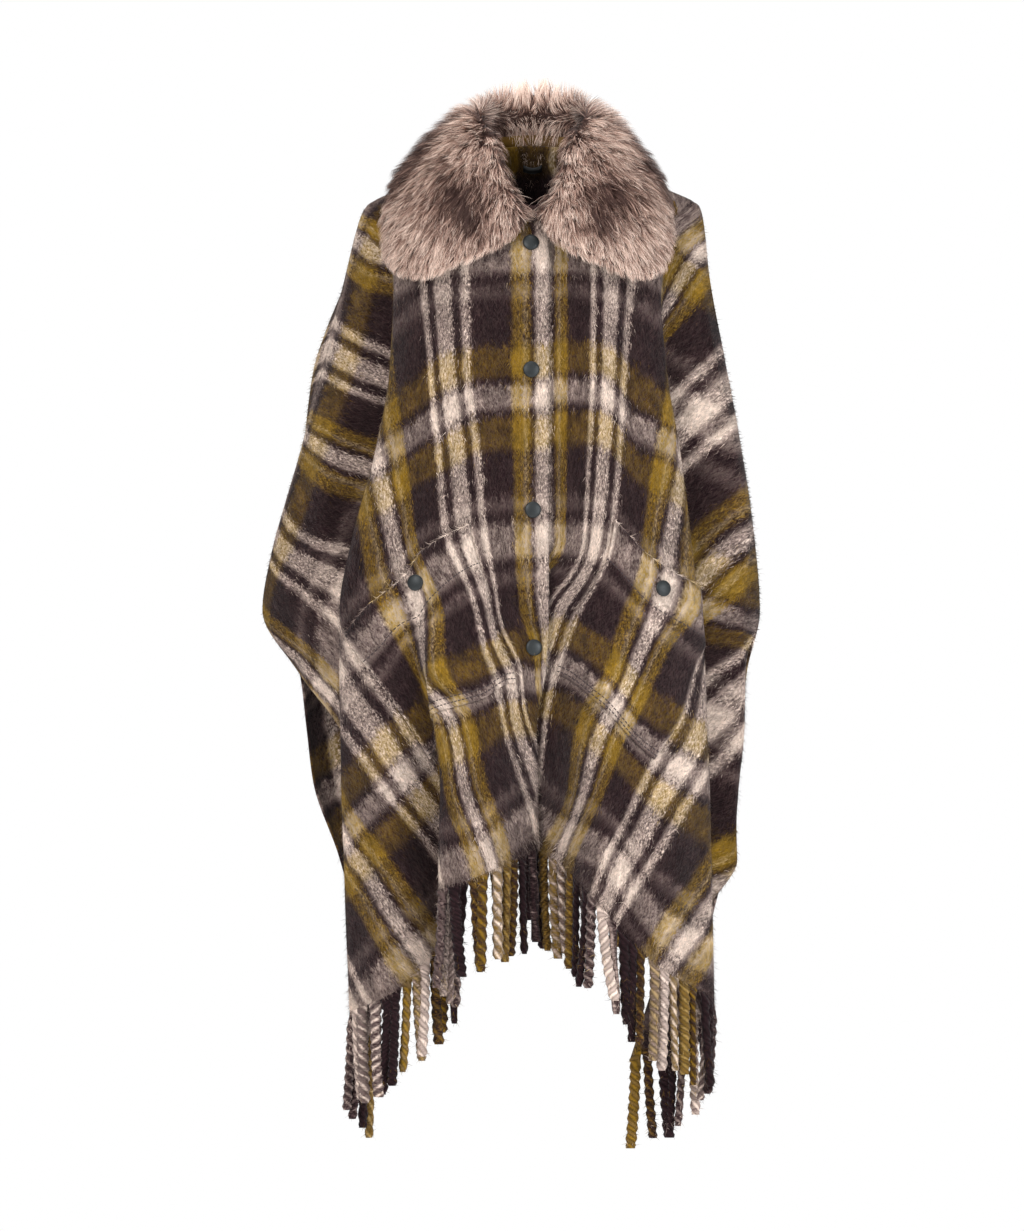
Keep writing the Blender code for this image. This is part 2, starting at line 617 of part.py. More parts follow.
def main():
    clear_scene()
    wool = material("wool", WOOL, 0.9)
    fur = material("fur", FUR, 0.95)
    metal = material("metal", METAL, 0.45, 1.0)
    ribbon = material("ribbon", RIBBON, 0.5)
    right, left, back = make_panels()
    right_grids = make_panel("front_right", right, wool)
    left_grids = make_panel("front_left", left, wool)
    back_grids = make_panel("back", back, wool)
    make_pocket("pocket_right", right, right_grids, POCKET_RIGHT_PLACE, wool)
    make_pocket("pocket_left", left, left_grids, POCKET_LEFT_PLACE, wool)
    pocket_lift = WALL / 2 + POCKET_GAP + POCKET_WALL + POCKET_SNAP_LIFT
    for i, centre in enumerate(FRONT_SNAPS):
        make_snap(f"snap_front_{i + 1}", right, -1, centre, WALL / 2, 1.0, metal)
    make_snap("snap_pocket_right", right, -1, POCKET_RIGHT_SNAP, pocket_lift, 6.0, metal)
    make_snap("snap_pocket_left", left, 1, POCKET_LEFT_SNAP, pocket_lift, 4.0, metal)
    hems = {"front_right": right_grids, "front_left": left_grids, "back": back_grids}
    for name, (middles, normals) in hems.items():
        make_fringe("fringe_" + name, middles[-1], normals[-1], wool)
    make_collar(OuterFace((right_grids, left_grids, back_grids)), fur)
    make_hanger(back, ribbon)


main()
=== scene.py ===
"""Looks of a plaid blanket cape: woven shells with creases, fur collar, twisted fringe, pockets and snaps."""
import math

import bmesh
import bpy
import numpy as np
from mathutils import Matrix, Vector
from mathutils.bvhtree import BVHTree
from mathutils.kdtree import KDTree

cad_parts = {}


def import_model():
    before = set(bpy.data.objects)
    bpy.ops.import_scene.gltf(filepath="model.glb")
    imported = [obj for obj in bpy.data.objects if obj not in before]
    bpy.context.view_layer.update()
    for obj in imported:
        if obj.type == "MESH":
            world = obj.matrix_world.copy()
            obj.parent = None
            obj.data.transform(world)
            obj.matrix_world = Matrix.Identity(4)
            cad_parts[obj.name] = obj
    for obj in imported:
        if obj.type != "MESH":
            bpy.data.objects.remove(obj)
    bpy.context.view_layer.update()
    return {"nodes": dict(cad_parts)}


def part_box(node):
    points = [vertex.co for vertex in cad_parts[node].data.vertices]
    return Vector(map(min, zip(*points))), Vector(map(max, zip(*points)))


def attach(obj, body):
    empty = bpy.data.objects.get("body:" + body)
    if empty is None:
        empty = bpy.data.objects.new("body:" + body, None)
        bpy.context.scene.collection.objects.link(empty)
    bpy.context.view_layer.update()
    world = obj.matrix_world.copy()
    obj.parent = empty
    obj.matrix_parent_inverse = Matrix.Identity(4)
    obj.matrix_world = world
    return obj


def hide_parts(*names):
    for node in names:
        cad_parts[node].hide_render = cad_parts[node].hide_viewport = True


SEED = 7

# Cloth sizes in millimetres, as in the solids
MM = 0.001
LEAST_LENGTH = 1e-12
WALL = 2.6
POCKET_WALL = 2.4
POCKET_GAP = 0.5
FRONT_TOP = 10
STRAND_PITCH = 17.0
STRAND_LENGTH = 112.0
STRIP_DROP = 0.3

# One half repeat of the plaid along each thread, in millimetres
WARP_HALF = 115.0
WEFT_HALF = 163.0

# Columns: height, then (out from the centre, depth) of each fold line; front is minus depth
FRONT_RIGHT = (
    (10, (62, -22), (66, -18), (70, -13), (73, -9), (74.5, -7.5),
     (76, -6), (78, -4), (80, -2), (82, 0), (84, 2)),
    (-20, (52, -54), (74, -53), (94, -45), (108, -36), (114, -31),
     (121, -26), (130, -15), (135, -9), (139, -4), (142, 2)),
    (-46, (30, -78), (66, -82), (98, -74), (119, -63), (131, -56),
     (143, -48), (160, -29), (170, -19), (182, -9), (193, 2)),
    (-72, (-18, -95), (50, -99), (97, -88), (120, -76), (134, -68),
     (145, -59), (159, -41), (168, -29), (190, -15), (203, 2)),
    (-121, (-18, -113), (50, -117), (98, -105), (122, -94), (135, -87),
     (145, -79), (159, -60), (161, -45), (193, -28), (215, 2)),
    (-236, (-18, -133), (50, -138), (104, -129), (126, -121), (139, -115),
     (151, -106), (164, -83), (151, -52), (208, -43), (243, 2)),
    (-328, (-18, -143), (52, -149), (108, -141), (131, -133), (146, -127),
     (161, -119), (180, -94), (160, -54), (228, -48), (268, 2)),
    (-431, (-18, -150), (55, -159), (112, -153), (134, -145), (152, -140),
     (172, -132), (207, -103), (187, -62), (250, -50), (297, 2)),
    (-512, (-18, -156), (57, -168), (115, -163), (130, -153), (148, -147),
     (174, -142), (221, -109), (213, -82), (266, -52), (312, 2)),
    (-582, (-14, -162), (58, -180), (118, -171), (120, -157), (132, -146),
     (172, -148), (221, -113), (218, -97), (246, -72), (270, -40)),
    (-646, (-4, -160), (60, -192), (112, -178), (104, -156), (116, -140),
     (168, -152), (220, -116), (215, -101), (218, -92), (222, -82)),
    (-712, (-5, -152), (61, -202), (105, -184), (94, -152), (108, -134),
     (166, -155), (219, -118), (209, -99), (200, -84), (188, -70)),
    (-800, (-6, -142), (60, -210), (107, -189), (89, -148), (104, -128),
     (165, -158), (216, -120), (205, -99), (192, -81), (176, -64)),
    (-900, (-6, -137), (58, -214), (107, -192), (87, -146), (102, -125),
     (165, -160), (213, -121), (204, -101), (194, -84), (182, -66)),
    (-1010, (-6, -135), (57, -216), (107, -194), (86, -145), (101, -124),
     (164, -161), (207, -121), (201, -103), (194, -86), (186, -68)),
)
FRONT_RIGHT_HEM = (-784, -814, -834, -862, -884, -952, -974, -985, -996, -1008)
FRONT_RIGHT_STEPS = (14, 10, 7, 6, 9, 10, 9, 11, 10)

FRONT_LEFT = (
    (10, (62, -22), (66, -18), (70, -13), (74, -9), (77, -5), (79, -3), (82, -1), (84, 2)),
    (-20, (52, -50), (70, -50), (88, -44), (108, -35), (126, -18), (133, -10), (138, -4), (142, 2)),
    (-46, (30, -72), (58, -76), (88, -72), (116, -60), (152, -32), (167, -19), (181, -9), (193, 2)),
    (-72, (-22, -88), (26, -89), (70, -94), (108, -80), (146, -46), (158, -30), (188, -14), (198, 2)),
    (-121, (-22, -106), (26, -107), (72, -112), (110, -98), (145, -66), (150, -46), (194, -24), (203, 2)),
    (-236, (-22, -126), (26, -127), (74, -134), (116, -121), (153, -86), (145, -56), (217, -34), (224, 2)),
    (-328, (-22, -136), (26, -137), (76, -146), (122, -134), (168, -96), (153, -58), (233, -38), (238, 2)),
    (-431, (-22, -142), (26, -144), (78, -158), (130, -147), (181, -103), (166, -61), (247, -40), (256, 2)),
    (-512, (-22, -147), (26, -150), (80, -168), (134, -158), (190, -107), (175, -64), (246, -42), (262, 2)),
    (-582, (-18, -152), (26, -155), (80, -182), (137, -168), (197, -112), (182, -67), (244, -45), (240, 16)),
    (-646, (-6, -149), (26, -156), (80, -194), (140, -177), (199, -116), (186, -69), (241, -47), (226, 14)),
    (-712, (-5, -134), (28, -160), (80, -204), (142, -184), (202, -120), (189, -72), (236, -50), (218, 0)),
    (-800, (-5, -116), (30, -156), (80, -214), (143, -191), (204, -124), (191, -78), (236, -58), (214, -32)),
    (-850, (-5, -110), (30, -154), (80, -218), (143, -194), (205, -126), (193, -92), (203, -82), (190, -70)),
    (-900, (-5, -108), (30, -152), (80, -221), (143, -196), (206, -127), (191, -95), (176, -80), (158, -66)),
    (-1040, (-5, -106), (30, -150), (80, -226), (144, -200), (208, -130), (184, -97), (150, -78), (110, -60)),
)
FRONT_LEFT_HEM = (-782, -800, -852, -918, -960, -980, -1003, -1029)
FRONT_LEFT_STEPS = (9, 11, 13, 15, 10, 13, 9)

BACK_RIGHT = (
    (30, (60, 8), (58, 14), (54, 24), (46, 36), (26, 48), (0, 54)),
    (10, (84, 2), (80, 12), (73, 26), (60, 40), (34, 54), (0, 62)),
    (-20, (142, 2), (136, 14), (124, 27), (106, 46), (72, 62), (0, 76)),
    (-46, (193, 2), (180, 15), (156, 32), (122, 58), (80, 74), (0, 87)),
    (-72, (203, 2), (196, 18), (166, 42), (128, 72), (84, 88), (0, 98)),
    (-121, (215, 2), (212, 24), (170, 54), (132, 92), (84, 106), (0, 113)),
    (-236, (243, 2), (254, 26), (176, 66), (140, 114), (84, 124), (0, 132)),
    (-328, (268, 2), (264, 38), (182, 72), (146, 127), (82, 132), (0, 142)),
    (-431, (297, 2), (268, 54), (186, 80), (152, 140), (80, 138), (0, 152)),
    (-512, (312, 2), (276, 60), (190, 88), (155, 151), (78, 143), (0, 161)),
    (-582, (270, 34), (248, 72), (188, 94), (156, 161), (77, 147), (0, 169)),
    (-646, (262, 48), (238, 82), (186, 100), (156, 170), (76, 151), (0, 177)),
    (-712, (254, 60), (228, 92), (182, 106), (155, 178), (76, 154), (0, 185)),
    (-800, (224, 80), (208, 102), (178, 114), (153, 187), (75, 158), (0, 194)),
    (-900, (200, 96), (190, 110), (174, 122), (151, 195), (75, 162), (0, 203)),
    (-960, (196, 98), (186, 113), (172, 126), (150, 198), (75, 164), (0, 207)),
)
BACK_LEFT = (
    (30, (60, 8), (58, 14), (54, 24), (46, 36), (26, 48)),
    (10, (84, 2), (80, 12), (73, 26), (60, 40), (34, 54)),
    (-20, (142, 2), (136, 14), (124, 27), (106, 46), (72, 62)),
    (-46, (193, 2), (180, 15), (156, 32), (122, 58), (80, 74)),
    (-72, (198, 2), (188, 20), (164, 42), (128, 72), (84, 88)),
    (-121, (203, 2), (196, 30), (168, 54), (132, 92), (84, 106)),
    (-236, (224, 2), (214, 42), (172, 66), (140, 114), (84, 124)),
    (-328, (238, 2), (228, 48), (176, 72), (147, 127), (82, 132)),
    (-431, (256, 2), (243, 54), (182, 80), (154, 141), (80, 138)),
    (-512, (262, 2), (246, 60), (186, 88), (158, 153), (78, 143)),
    (-582, (248, 46), (236, 76), (186, 96), (160, 164), (77, 147)),
    (-646, (241, 56), (228, 86), (184, 103), (161, 174), (76, 151)),
    (-712, (234, 66), (220, 94), (182, 110), (161, 182), (76, 154)),
    (-800, (224, 80), (208, 104), (178, 118), (160, 191), (75, 158)),
    (-900, (202, 96), (190, 112), (174, 124), (158, 198), (75, 162)),
    (-960, (194, 100), (184, 116), (172, 128), (157, 201), (75, 164)),
)
BACK_TOP = (10, 12, 16, 21, 26, 28, 26, 21, 16, 12, 10)
BACK_HEM = (-912, -895, -868, -825, -782, -765, -784, -830, -875, -905, -930)
BACK_STEPS = (7, 10, 10, 11, 11, 11, 11, 10, 10, 7)
ROWS = 140

# Small steps for reading directions off a panel, in fold positions and millimetres
PLACE_STEP = 0.02
HEIGHT_STEP = 1.5
# Search for a place on the plaid: steps, longest moves, number of turns and the smallest slope
SEARCH_STEP = 0.01
SEARCH_RISE = 2.0
PLACE_MOVE = 0.1
HEIGHT_MOVE = 8.0
SEARCH_TURNS = 8
LEAST_SLOPE = 1e-6

# Plaid on the fronts: height, then (warp, weft) in half repeats from the centre stripe and the second snap
RIGHT_LOBE_PLACES = (0, 0.52, 1, 2, 3, 4, 5, 6, 7)
RIGHT_LOBE = (
    (10, (0.60, -1.70), (0.62, -1.70), (0.63, -1.70), (0.66, -1.70), (0.69, -1.70),
     (0.70, -1.70), (0.72, -1.70), (0.74, -1.70), (0.76, -1.70)),
    (-46, (0.33, -1.36), (0.50, -1.36), (0.66, -1.36), (0.94, -1.37), (1.14, -1.40),
     (1.26, -1.42), (1.38, -1.45), (1.52, -1.48), (1.60, -1.50)),
    (-72, (-0.07, -1.19), (0.26, -1.19), (0.52, -1.20), (0.93, -1.22), (1.13, -1.24),
     (1.25, -1.26), (1.38, -1.28), (1.52, -1.32), (1.60, -1.35)),
    (-121, (-0.07, -0.90), (0.26, -0.90), (0.52, -0.91), (0.935, -0.92), (1.18, -0.94),
     (1.34, -0.97), (1.48, -1.00), (1.62, -1.04), (1.80, -1.06)),
    (-236, (-0.07, -0.19), (0.26, -0.19), (0.52, -0.20), (1.06, -0.27), (1.36, -0.36),
     (1.50, -0.43), (1.62, -0.50), (1.78, -0.58), (2.05, -0.62)),
    (-328, (-0.07, 0.37), (0.28, 0.36), (0.62, 0.35), (1.24, 0.19), (1.52, 0.12),
     (1.68, 0.06), (1.83, 0.01), (2.02, -0.08), (2.30, -0.12)),
    (-431, (-0.07, 1.00), (0.31, 0.99), (0.76, 0.97), (1.40, 0.82), (1.70, 0.74),
     (1.92, 0.62), (2.10, 0.52), (2.45, 0.42), (2.72, 0.36)),
    (-512, (-0.07, 1.50), (0.40, 1.48), (1.10, 1.43), (1.80, 1.20), (2.00, 1.07),
     (2.10, 1.02), (2.27, 0.92), (2.68, 0.67), (2.85, 0.62)),
    (-582, (-0.04, 1.93), (0.95, 1.95), (1.33, 1.85), (1.86, 1.75), (2.00, 1.72),
     (2.20, 1.60), (2.60, 1.27), (2.98, 1.03), (3.12, 0.98)),
    (-646, (0.60, 2.30), (1.20, 2.30), (1.62, 2.20), (2.30, 2.10), (2.42, 2.02),
     (2.50, 1.87), (2.90, 1.65), (3.25, 1.33), (3.40, 1.28)),
    (-712, (1.02, 2.78), (1.46, 2.68), (1.78, 2.55), (2.40, 2.45), (2.62, 2.38),
     (2.75, 2.25), (3.18, 1.96), (3.69, 1.69), (3.88, 1.64)),
    (-800, (1.30, 3.30), (1.75, 3.15), (2.15, 3.00), (2.75, 2.95), (3.00, 2.85),
     (3.20, 2.65), (3.72, 2.40), (4.16, 2.12), (4.36, 2.08)),
    (-900, (1.50, 3.85), (2.00, 3.75), (2.40, 3.60), (3.10, 3.50), (3.45, 3.30),
     (3.75, 3.05), (4.21, 2.86), (4.70, 2.60), (4.88, 2.56)),
    (-1010, (1.70, 4.50), (2.20, 4.40), (2.60, 4.20), (3.40, 4.10), (3.90, 3.85),
     (4.20, 3.60), (4.81, 3.39), (5.27, 3.15), (5.45, 3.10)),
)
RIGHT_SLEEVE_PLACES = (7, 8, 9)
RIGHT_SLEEVE = (
    (10, (0.76, -1.90), (0.78, -1.95), (0.80, -2.00)),
    (-46, (1.45, -1.80), (1.52, -1.90), (1.60, -2.00)),
    (-72, (1.65, -1.70), (1.85, -1.85), (1.92, -2.00)),
    (-121, (2.10, -1.45), (2.17, -1.75), (2.32, -2.00)),
    (-236, (2.80, -1.25), (3.06, -1.66), (3.24, -2.00)),
    (-328, (3.70, -1.15), (3.95, -1.57), (4.22, -2.00)),
    (-431, (4.62, -1.00), (4.72, -1.42), (5.05, -1.97)),
    (-512, (5.02, -0.90), (5.39, -1.27), (5.80, -1.85)),
    (-582, (5.55, -0.85), (5.85, -1.10), (6.20, -1.35)),
    (-646, (6.00, -0.65), (6.12, -0.72), (6.20, -0.80)),
    (-712, (6.10, -0.50), (6.15, -0.55), (6.20, -0.60)),
)
RIGHT_SLEEVE_END = -668

LEFT_LOBE_PLACES = (0, 1, 2, 3, 4, 5)
LEFT_LOBE = (
    (10, (0.45, -1.70), (0.50, -1.70), (0.55, -1.70), (0.60, -1.70), (0.65, -1.70), (0.70, -1.70)),
    (-46, (0.25, -1.36), (0.62, -1.37), (0.97, -1.38), (1.27, -1.42), (1.60, -1.48), (1.75, -1.50)),
    (-72, (-0.32, -1.19), (0.13, -1.20), (0.77, -1.22), (1.20, -1.25), (1.50, -1.30), (1.60, -1.33)),
    (-121, (-0.32, -0.90), (0.13, -0.90), (0.79, -0.92), (1.22, -0.95), (1.55, -1.00), (1.70, -1.03)),
    (-236, (-0.32, -0.16), (0.13, -0.15), (0.83, -0.17), (1.38, -0.35), (1.72, -0.52), (1.95, -0.57)),
    (-328, (-0.32, 0.40), (0.13, 0.39), (0.93, 0.39), (1.53, 0.13), (1.97, 0.00), (2.25, -0.05)),
    (-431, (-0.32, 1.00), (0.13, 1.00), (1.10, 0.97), (1.75, 0.70), (2.28, 0.50), (2.55, 0.45)),
    (-512, (-0.10, 1.55), (0.93, 1.58), (1.52, 1.40), (1.95, 1.11), (2.40, 0.92), (2.65, 0.87)),
    (-582, (0.60, 1.98), (1.25, 2.00), (1.70, 1.80), (2.27, 1.46), (2.97, 1.25), (3.20, 1.20)),
    (-646, (0.95, 2.45), (1.42, 2.40), (2.00, 2.15), (2.58, 1.80), (3.10, 1.65), (3.32, 1.60)),
    (-712, (1.15, 2.85), (1.50, 2.68), (2.25, 2.55), (2.92, 2.18), (3.38, 1.98), (3.60, 1.93)),
    (-800, (1.60, 3.40), (2.02, 3.20), (2.75, 3.05), (3.32, 2.65), (3.81, 2.43), (4.05, 2.38)),
    (-850, (1.80, 3.70), (2.20, 3.50), (2.98, 3.32), (3.60, 2.89), (4.05, 2.68), (4.33, 2.63)),
    (-900, (1.95, 4.00), (2.40, 3.80), (3.30, 3.65), (3.84, 3.15), (4.30, 2.94), (4.60, 2.90)),
    (-1040, (2.40, 4.80), (2.90, 4.60), (3.90, 4.30), (4.50, 3.85), (4.98, 3.65), (5.30, 3.60)),
)
LEFT_SLEEVE_PLACES = (5, 6, 7)
LEFT_SLEEVE = (
    (10, (0.70, -2.00), (0.75, -2.02), (0.80, -2.05)),
    (-46, (1.40, -2.00), (1.50, -2.05), (1.60, -2.08)),
    (-72, (1.55, -1.95), (1.75, -2.07), (1.82, -2.10)),
    (-121, (1.67, -1.68), (2.14, -1.84), (2.20, -1.87)),
    (-236, (2.41, -1.11), (2.87, -1.32), (2.92, -1.35)),
    (-328, (2.95, -0.68), (3.42, -0.90), (3.46, -0.92)),
    (-431, (3.58, -0.30), (4.04, -0.50), (4.08, -0.52)),
    (-512, (4.02, 0.09), (4.43, -0.10), (4.55, -0.15)),
    (-582, (4.58, 0.74), (4.92, 0.58), (5.10, 0.50)),
    (-646, (4.90, 1.07), (5.21, 0.92), (5.40, 0.85)),
    (-712, (5.23, 1.40), (5.48, 1.28), (5.75, 1.20)),
    (-800, (5.70, 1.85), (5.90, 1.74), (6.10, 1.70)),
    (-850, (6.00, 2.10), (6.15, 2.00), (6.20, 2.00)),
    (-900, (6.10, 2.30), (6.20, 2.20), (6.25, 2.20)),
)
LEFT_SLEEVE_END = -866

# The same on the back, from its centre out to the crease behind each arm, then over the arms
BACK_LOBE_PLACES = (2, 3, 4, 5, 6, 7, 8)
BACK_CENTRE_WARP = 0.5
BACK_LOBE_HALF = (
    (30, (0.00, -1.86), (0.25, -1.86), (0.42, -1.86), (0.50, -1.86)),
    (-46, (0.00, -1.39), (0.70, -1.40), (1.10, -1.46), (1.50, -1.51)),
    (-121, (0.00, -0.93), (0.75, -0.94), (1.25, -0.98), (1.75, -1.06)),
    (-236, (0.00, -0.22), (0.80, -0.23), (1.40, -0.33), (2.00, -0.50)),
    (-431, (0.00, 0.97), (0.86, 0.94), (1.60, 0.79), (2.30, 0.54)),
    (-646, (0.00, 2.29), (0.95, 2.24), (1.85, 1.99), (2.65, 1.64)),
    (-800, (0.00, 3.23), (1.00, 3.16), (2.00, 2.89), (2.90, 2.49)),
    (-960, (0.00, 4.21), (1.05, 4.14), (2.15, 3.84), (3.10, 3.39)),
)
BACK_SLEEVE_RIGHT_PLACES = (0, 1, 2)
BACK_SLEEVE_RIGHT = (
    (30, (0.60, -2.00), (0.55, -1.95), (0.50, -1.90)),
    (-46, (1.60, -2.00), (1.52, -1.88), (1.40, -1.75)),
    (-121, (2.32, -2.00), (2.15, -1.70), (2.00, -1.50)),
    (-236, (3.24, -2.00), (3.06, -1.72), (2.80, -1.30)),
    (-328, (4.22, -2.00), (3.95, -1.65), (3.60, -1.20)),
    (-431, (5.05, -1.97), (4.72, -1.50), (4.40, -1.10)),
    (-512, (5.70, -1.85), (5.30, -1.35), (4.80, -1.00)),
    (-646, (5.50, -0.60), (5.25, -0.45), (5.00, -0.30)),
    (-800, (5.50, 0.40), (5.30, 0.50), (5.10, 0.60)),
    (-960, (5.50, 1.40), (5.35, 1.50), (5.20, 1.60)),
)
BACK_SLEEVE_LEFT_PLACES = (8, 9, 10)
BACK_SLEEVE_LEFT = (
    (30, (0.50, -1.90), (0.55, -1.95), (0.60, -2.00)),
    (-46, (1.40, -1.90), (1.50, -2.00), (1.60, -2.08)),
    (-121, (1.80, -1.60), (2.05, -1.80), (2.20, -1.87)),
    (-236, (2.50, -1.00), (2.75, -1.25), (2.92, -1.35)),
    (-328, (3.00, -0.60), (3.30, -0.80), (3.46, -0.92)),
    (-431, (3.50, -0.20), (3.90, -0.40), (4.08, -0.52)),
    (-512, (3.90, 0.20), (4.35, 0.00), (4.55, -0.15)),
    (-646, (4.40, 1.00), (4.80, 0.80), (5.20, 0.60)),
    (-800, (4.70, 2.00), (5.10, 1.80), (5.50, 1.60)),
    (-960, (4.90, 3.00), (5.20, 2.85), (5.50, 2.70)),
)

# Creases: start and end as (fold position, height), then width and height in millimetres, minus for troughs
RIGHT_CREASES = (
    ((1.3, -150), (1.1, -420), 26, 3.5), ((0.75, -130), (0.8, -330), 18, -3.0),
    ((2.2, -140), (2.0, -300), 20, -2.5), ((4.6, -330), (3.6, -470), 20, -3.5),
    ((1.6, -560), (0.5, -760), 24, 3.0), ((1.4, -640), (1.0, -800), 15, -3.5),
    ((5.4, -560), (4.5, -900), 22, 3.5), ((5.2, -740), (5.7, -930), 16, -3.5),
    ((4.7, -800), (4.4, -930), 14, 2.5), ((8.4, -130), (7.6, -260), 20, -4.0),
    ((8.7, -250), (7.8, -420), 22, 4.0), ((8.6, -330), (8.0, -500), 15, -3.5),
    ((8.9, -430), (8.3, -590), 18, 3.5), ((8.3, -520), (7.9, -600), 14, -3.0),
    ((0, -90), (0, -600), 9, 3.0),
)
LEFT_CREASES = (
    ((2.2, -150), (2.1, -400), 24, 3.5), ((1.6, -140), (1.7, -320), 17, -3.0),
    ((2.9, -150), (2.8, -380), 20, -3.0), ((3.6, -420), (2.9, -540), 18, -2.5),
    ((2.0, -600), (1.4, -790), 22, 3.0), ((2.6, -640), (2.2, -840), 16, -4.0),
    ((3.4, -600), (2.9, -900), 24, 4.0), ((3.7, -740), (3.4, -950), 15, -3.5),
    ((3.1, -800), (3.0, -900), 12, -2.0), ((6.6, -130), (5.7, -300), 20, -3.5),
    ((6.8, -260), (5.9, -460), 20, 4.0), ((6.5, -420), (5.8, -560), 15, -3.5),
    ((6.6, -560), (5.9, -720), 18, 3.5), ((6.4, -700), (5.9, -820), 14, -3.0),
    ((0.92, -100), (0.92, -620), 7, -5.0),
)
BACK_CREASES = (
    ((5.0, -60), (5.1, -520), 30, 3.0), ((4.3, -90), (4.4, -420), 20, -3.0),
    ((5.8, -80), (5.7, -460), 22, -3.5), ((3.5, -420), (3.2, -800), 24, 4.0),
    ((6.6, -380), (6.9, -810), 22, 4.0), ((4.6, -520), (4.5, -770), 18, -3.5),
    ((5.5, -560), (5.4, -760), 15, -3.0), ((1.2, -200), (1.9, -420), 18, -3.5),
    ((8.8, -200), (8.2, -430), 18, -3.5), ((1.0, -420), (1.7, -640), 20, 3.5),
    ((9.0, -420), (8.3, -660), 20, 3.5), ((2.6, -600), (2.4, -860), 16, -3.0),
)
CREASE_SPAN = 0.86
CREASE_BLUNT = 0.8

# Pocket patches: first and last warp, first and last weft, in half repeats, and their shift against the front
POCKET_RIGHT = ((-0.93, -2.70), (0.84, 2.03), (-0.03, -0.04))
POCKET_LEFT = ((1.27, 2.74), (0.80, 2.03), (-0.02, 0.05))
POCKET_CELLS = (46, 44)
# Last fold position that each pocket may reach
POCKET_RIGHT_LAST = 6.5
POCKET_LEFT_LAST = 4.5
# How far a mouth stands off, over what share of the pocket, and the hairs along it, given the cream weft as a
# painted highlight on the mouth's rim
POCKET_MOUTH = 3.5
MOUTH_SHARE = 0.14
MOUTH_HAIRS = 230
MOUTH_STRAY = 0.6
MOUTH_HIGHLIGHT_WEFT = 1.0

# Stitches on the pockets: distances from the top and bottom edges, and sizes, in millimetres
FACING_DEPTH = 45.0
BOTTOM_ROWS = (5.0, 11.0)
STITCH_STEP = 5.6
STITCH_START = 0.15
STITCH_SHARE = 0.68
STITCH_WIDE = 1.1
STITCH_HIGH = 0.5
STITCH_ARCH = (0.3, 1.0, 0.3)
STITCH_LIFT = 0.1

# Colours as they read on a screen, from 0 to 255
DARK = (37, 26, 28)
GOLD = (117, 90, 30)
CREAM = (200, 181, 168)
STONE = (142, 121, 88)
GREY = (116, 101, 96)
FIBRE = (172, 151, 134)
THREAD = (34, 27, 28)
# Stripes over one half repeat: where each ends, and its colour
WARP_STRIPES = ((0.075, CREAM), (0.125, DARK), (0.165, GOLD), (0.195, STONE), (0.31, GOLD), (0.71, DARK),
                (0.80, CREAM), (0.895, DARK), (1.0, CREAM))
WEFT_STRIPES = ((0.085, CREAM), (0.135, DARK), (0.36, GOLD), (0.70, DARK), (0.79, GREY), (0.88, DARK),
                (1.0, CREAM))
WARP_EDGE = 0.04
WEFT_EDGE = 0.06
WEFT_SHARE = 0.42

# Snap caps: centres as (out from the centre, height), and sizes in millimetres
FRONT_SNAPS = ((2, -90), (2, -236), (0, -397), (-1, -555))
FRONT_SNAP_LAST = 1.0
POCKET_RIGHT_SNAP = (132, -481)
POCKET_RIGHT_SNAP_LAST = 6.0
POCKET_LEFT_SNAP = (145, -488)
POCKET_LEFT_SNAP_LAST = 4.0
POCKET_SNAP_LIFT = 2.0
SNAP_RADIUS = 9.4
SNAP_HEIGHT = 4.0
SNAP_GAP = 1.2
SNAP_SIDES = 40
SNAP_PROFILE = ((1.0, 0.0), (1.0, 0.3), (0.985, 0.45), (0.94, 0.56), (0.8, 0.72), (0.55, 0.88), (0.28, 0.97))

# Hanger loop, in millimetres
LOOP_STATIONS = 13
LOOP_BOW = 1.6
LOOP_SAG = 3.0
LOOP_CURL = 0.8
LOOP_THICK = 0.9

# Fringe: two plies twisted round each other
STRAND_RADIUS = 6.0
STRAND_RELIEF = 0.17
STRAND_FLATNESS = 0.8
TWIST_PITCH = 23.0
STRAND_SIDES = 8
STRAND_RINGS = 60
ROOT_SPREAD = 14.0
ROOT_LAP = 0.5
PLY_WARP = 0.05
PLY_DARK = 0.42
# How strands differ: place along the hem, turn, tightness, sway, and change of length and of radius
STRAND_JITTER = 0.24
STRAND_TURNS = (1, 1, 1, 1, 1, 1, 0.2, -1)
STRAND_TIGHT = (0.65, 1.1)
STRAND_SWAY = (5.5, 4.0)
STRAND_LONGER = (-9, 3)
STRAND_THICKER = (0.72, 1.15)
SWAY_CURVE = 1.7
# Rounding of a strand's end: its length, least share and curve
END_LENGTH = 3.0
END_LEAST = 0.5
END_CURVE = 0.35
# Steepest hem that a strand's root follows, and the shortest run that its slope is read from
HEM_SLOPE = 1.6
HEM_RUN = 0.5
# Hairs on a strand: count, first ring, rise, disorder, droop and reach into the next stripe
STRAND_FUZZ = 150
FUZZ_FIRST = 2
FUZZ_RISE = (0.1, 0.6)
FUZZ_STRAY = 0.5
FUZZ_DROOP = 0.7
FUZZ_REACH = 1.6

# Fur: length of the pile, how far its base lies inside the solid, and counts
FUR_BASE_DEPTH = 8.5
FUR_STRANDS = 80000
FUR_TUFTS = 4000
FUR_LENGTH = (19.0, 28.0)
FUR_OVER = 5.0
FUR_TOP_OVER = 20.0
FUR_WIDTH = (0.35, 0.65)
FUR_DARK = (70, 48, 42)
FUR_MIDDLE = (171, 135, 119)
FUR_LIGHT = (243, 216, 199)
NECK_CENTRE = (0.0, -15.0)
# Depth past which the collar counts as its back
BACK_DEPTH = 20.0
